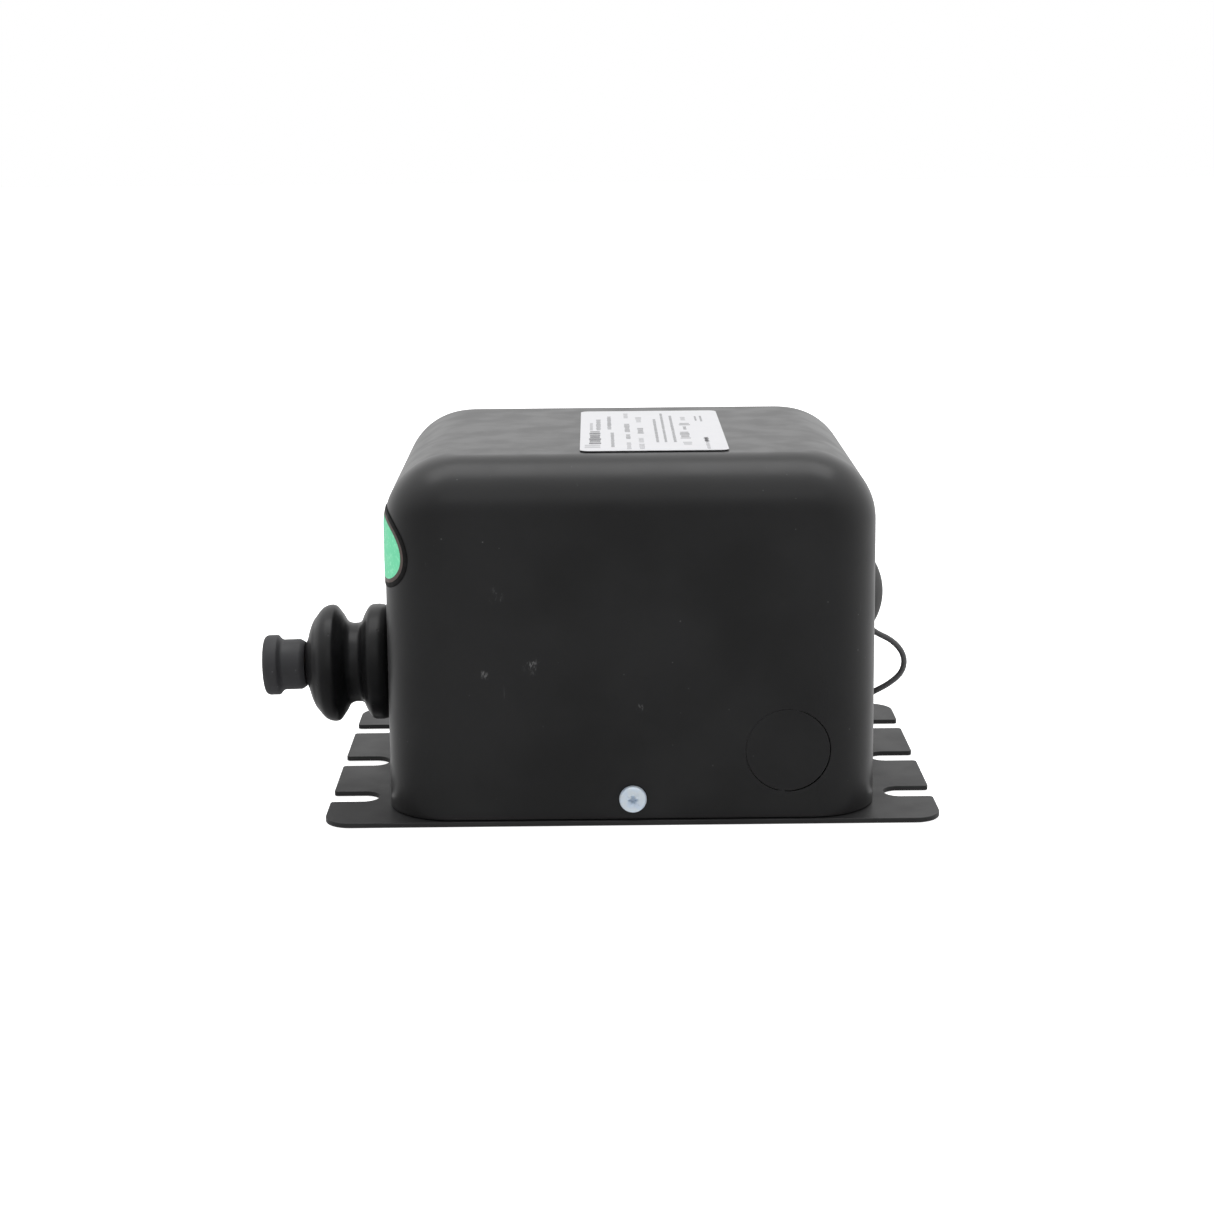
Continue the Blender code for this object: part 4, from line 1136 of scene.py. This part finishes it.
class TRANSFORMER_OT_wall_fittings(MakePiece, bpy.types.Operator):
    """The domed hole plug and the lead's grommet in the right wall"""
    bl_idname = "transformer.make_wall_fittings"
    bl_label = "Plug and grommet"

    def make(self, context):
        look = settings("fittings")
        rubber = moulded("black_rubber", look.rubber, 0.5, 1100, 0.015 * MM)
        self.plug(look, rubber)
        self.grommet(look, rubber)

    def plug(self, look, rubber):
        line = axis_matrix((wall_x(look.plug_height), 0, look.plug_height), (1, 0, 0))
        sphere = (look.plug_radius ** 2 + look.plug_dome ** 2) / (2 * look.plug_dome)
        spread = math.asin(look.plug_radius / sphere)
        seat, leg = PLAY, look.plug_hole - PLAY
        profile = [(0, seat + 1.6 * MM), (leg - 1.6 * MM, seat + 1.6 * MM),
                   (leg - 1.6 * MM, -5.5 * MM), (leg - 0.5 * MM, -5.5 * MM),
                   (leg, -4.6 * MM), (leg, seat), (look.plug_radius - 0.2 * MM, seat),
                   (look.plug_radius, seat + 0.2 * MM), (look.plug_radius, seat + 0.6 * MM)]
        for i in range(1, 24):
            angle = spread * (1 - i / 24)
            level = seat + look.plug_dome - sphere * (1 - math.cos(angle))
            profile.append((sphere * math.sin(angle), max(level, seat + 0.8 * MM)))
        profile.append((0, seat + look.plug_dome))
        fit(new_turned("hole_plug_dome", profile, 96, line), rubber, ["hole_plug"])

    def grommet(self, look, rubber):
        line = axis_matrix((wall_x(look.lead_height), look.lead_back, look.lead_height), (1, 0, 0))
        wall = settings("case").wall
        bore, neck = 1.05 * MM, look.lead_hole - PLAY
        profile = [(1.25 * MM, -3.6 * MM), (5.4 * MM, -3.6 * MM), (5.4 * MM, -wall - PLAY),
                   (neck, -wall - PLAY), (neck, PLAY), (6 * MM, PLAY)]
        profile += [(p.x, p.y) for p in spline_through(
            [(6 * MM, 0.7 * MM, 0), (5.8 * MM, 1.5 * MM, 0), (4.9 * MM, 2.2 * MM, 0),
             (3.2 * MM, 2.5 * MM, 0), (2.2 * MM, 2.8 * MM, 0), (1.6 * MM, 3.1 * MM, 0)], 4)]
        profile += [(bore, 3.1 * MM), (bore, 2.4 * MM), (1.25 * MM, 2.2 * MM)]
        fit(new_turned("lead_grommet_rubber", profile, 48, line), rubber,
            ["lead_grommet"])
        paint("primary_lead_inside",
              moulded("inner_insulation", settings("lead").insulation, 0.45, 1800, 0.01 * MM))


class TRANSFORMER_OT_inside(MakePiece, bpy.types.Operator):
    """Finishes of the core, windings and compound inside the can"""
    bl_idname = "transformer.finish_inside"
    bl_label = "Core and windings"

    def make(self, context):
        steel = layered("core_laminations", (0.30, 0.31, 0.33), 0.45, 1, 0.5 * MM, 0.9)
        for node in ("core_e_stack", "core_i_stack", "magnetic_shunt_lower",
                     "magnetic_shunt_upper"):
            paint(node, steel)
        nylon = moulded("bobbin_nylon", (0.72, 0.67, 0.57), 0.55, 900, 0.01 * MM)
        for winding, pitch in (("primary", 0.6 * MM), ("secondary", 0.25 * MM)):
            paint(winding + "_bobbin", nylon)
            paint(winding + "_winding", layered(winding + "_wire", (0.45, 0.16, 0.06), 0.32, 0,
                                                pitch, 0.3))
        compound = moulded("bitumen_compound", (0.012, 0.010, 0.009), 0.5, 220, 0.2 * MM)
        paint("potting_compound", compound)


OPERATORS = (
    TRANSFORMER_OT_stage, TRANSFORMER_OT_lead, TRANSFORMER_OT_case, TRANSFORMER_OT_base,
    TRANSFORMER_OT_knockout, TRANSFORMER_OT_screws, TRANSFORMER_OT_rating_label,
    TRANSFORMER_OT_corner_badge, TRANSFORMER_OT_bushing, TRANSFORMER_OT_terminal_cap,
    TRANSFORMER_OT_wall_fittings, TRANSFORMER_OT_inside,
)


class TRANSFORMER_PT_panel(bpy.types.Panel):
    """Lists the operators and the sizes they use"""
    bl_idname = "TRANSFORMER_PT_panel"
    bl_label = "Ignition transformer"
    bl_space_type = "VIEW_3D"
    bl_region_type = "UI"
    bl_category = "Transformer"

    def draw(self, context):
        for operator in OPERATORS:
            self.layout.operator(operator.bl_idname)
        for name, group in SETTINGS.items():
            box = self.layout.box()
            box.label(text=name.replace("transformer_", "").capitalize())
            for entry in group.__annotations__:
                box.prop(getattr(context.scene, name), entry)


def register():
    for group in SETTINGS.values():
        bpy.utils.register_class(group)
    for name, group in SETTINGS.items():
        setattr(bpy.types.Scene, name, PointerProperty(type=group))
    for operator in OPERATORS:
        bpy.utils.register_class(operator)
    bpy.utils.register_class(TRANSFORMER_PT_panel)


def unregister():
    bpy.utils.unregister_class(TRANSFORMER_PT_panel)
    for operator in reversed(OPERATORS):
        bpy.utils.unregister_class(operator)
    for name, group in SETTINGS.items():
        delattr(bpy.types.Scene, name)
        bpy.utils.unregister_class(group)


def main():
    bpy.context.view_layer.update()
    register()
    for operator in OPERATORS:
        area, call = operator.bl_idname.split(".")
        getattr(getattr(bpy.ops, area), call)()


if __name__ == "__main__":
    main()
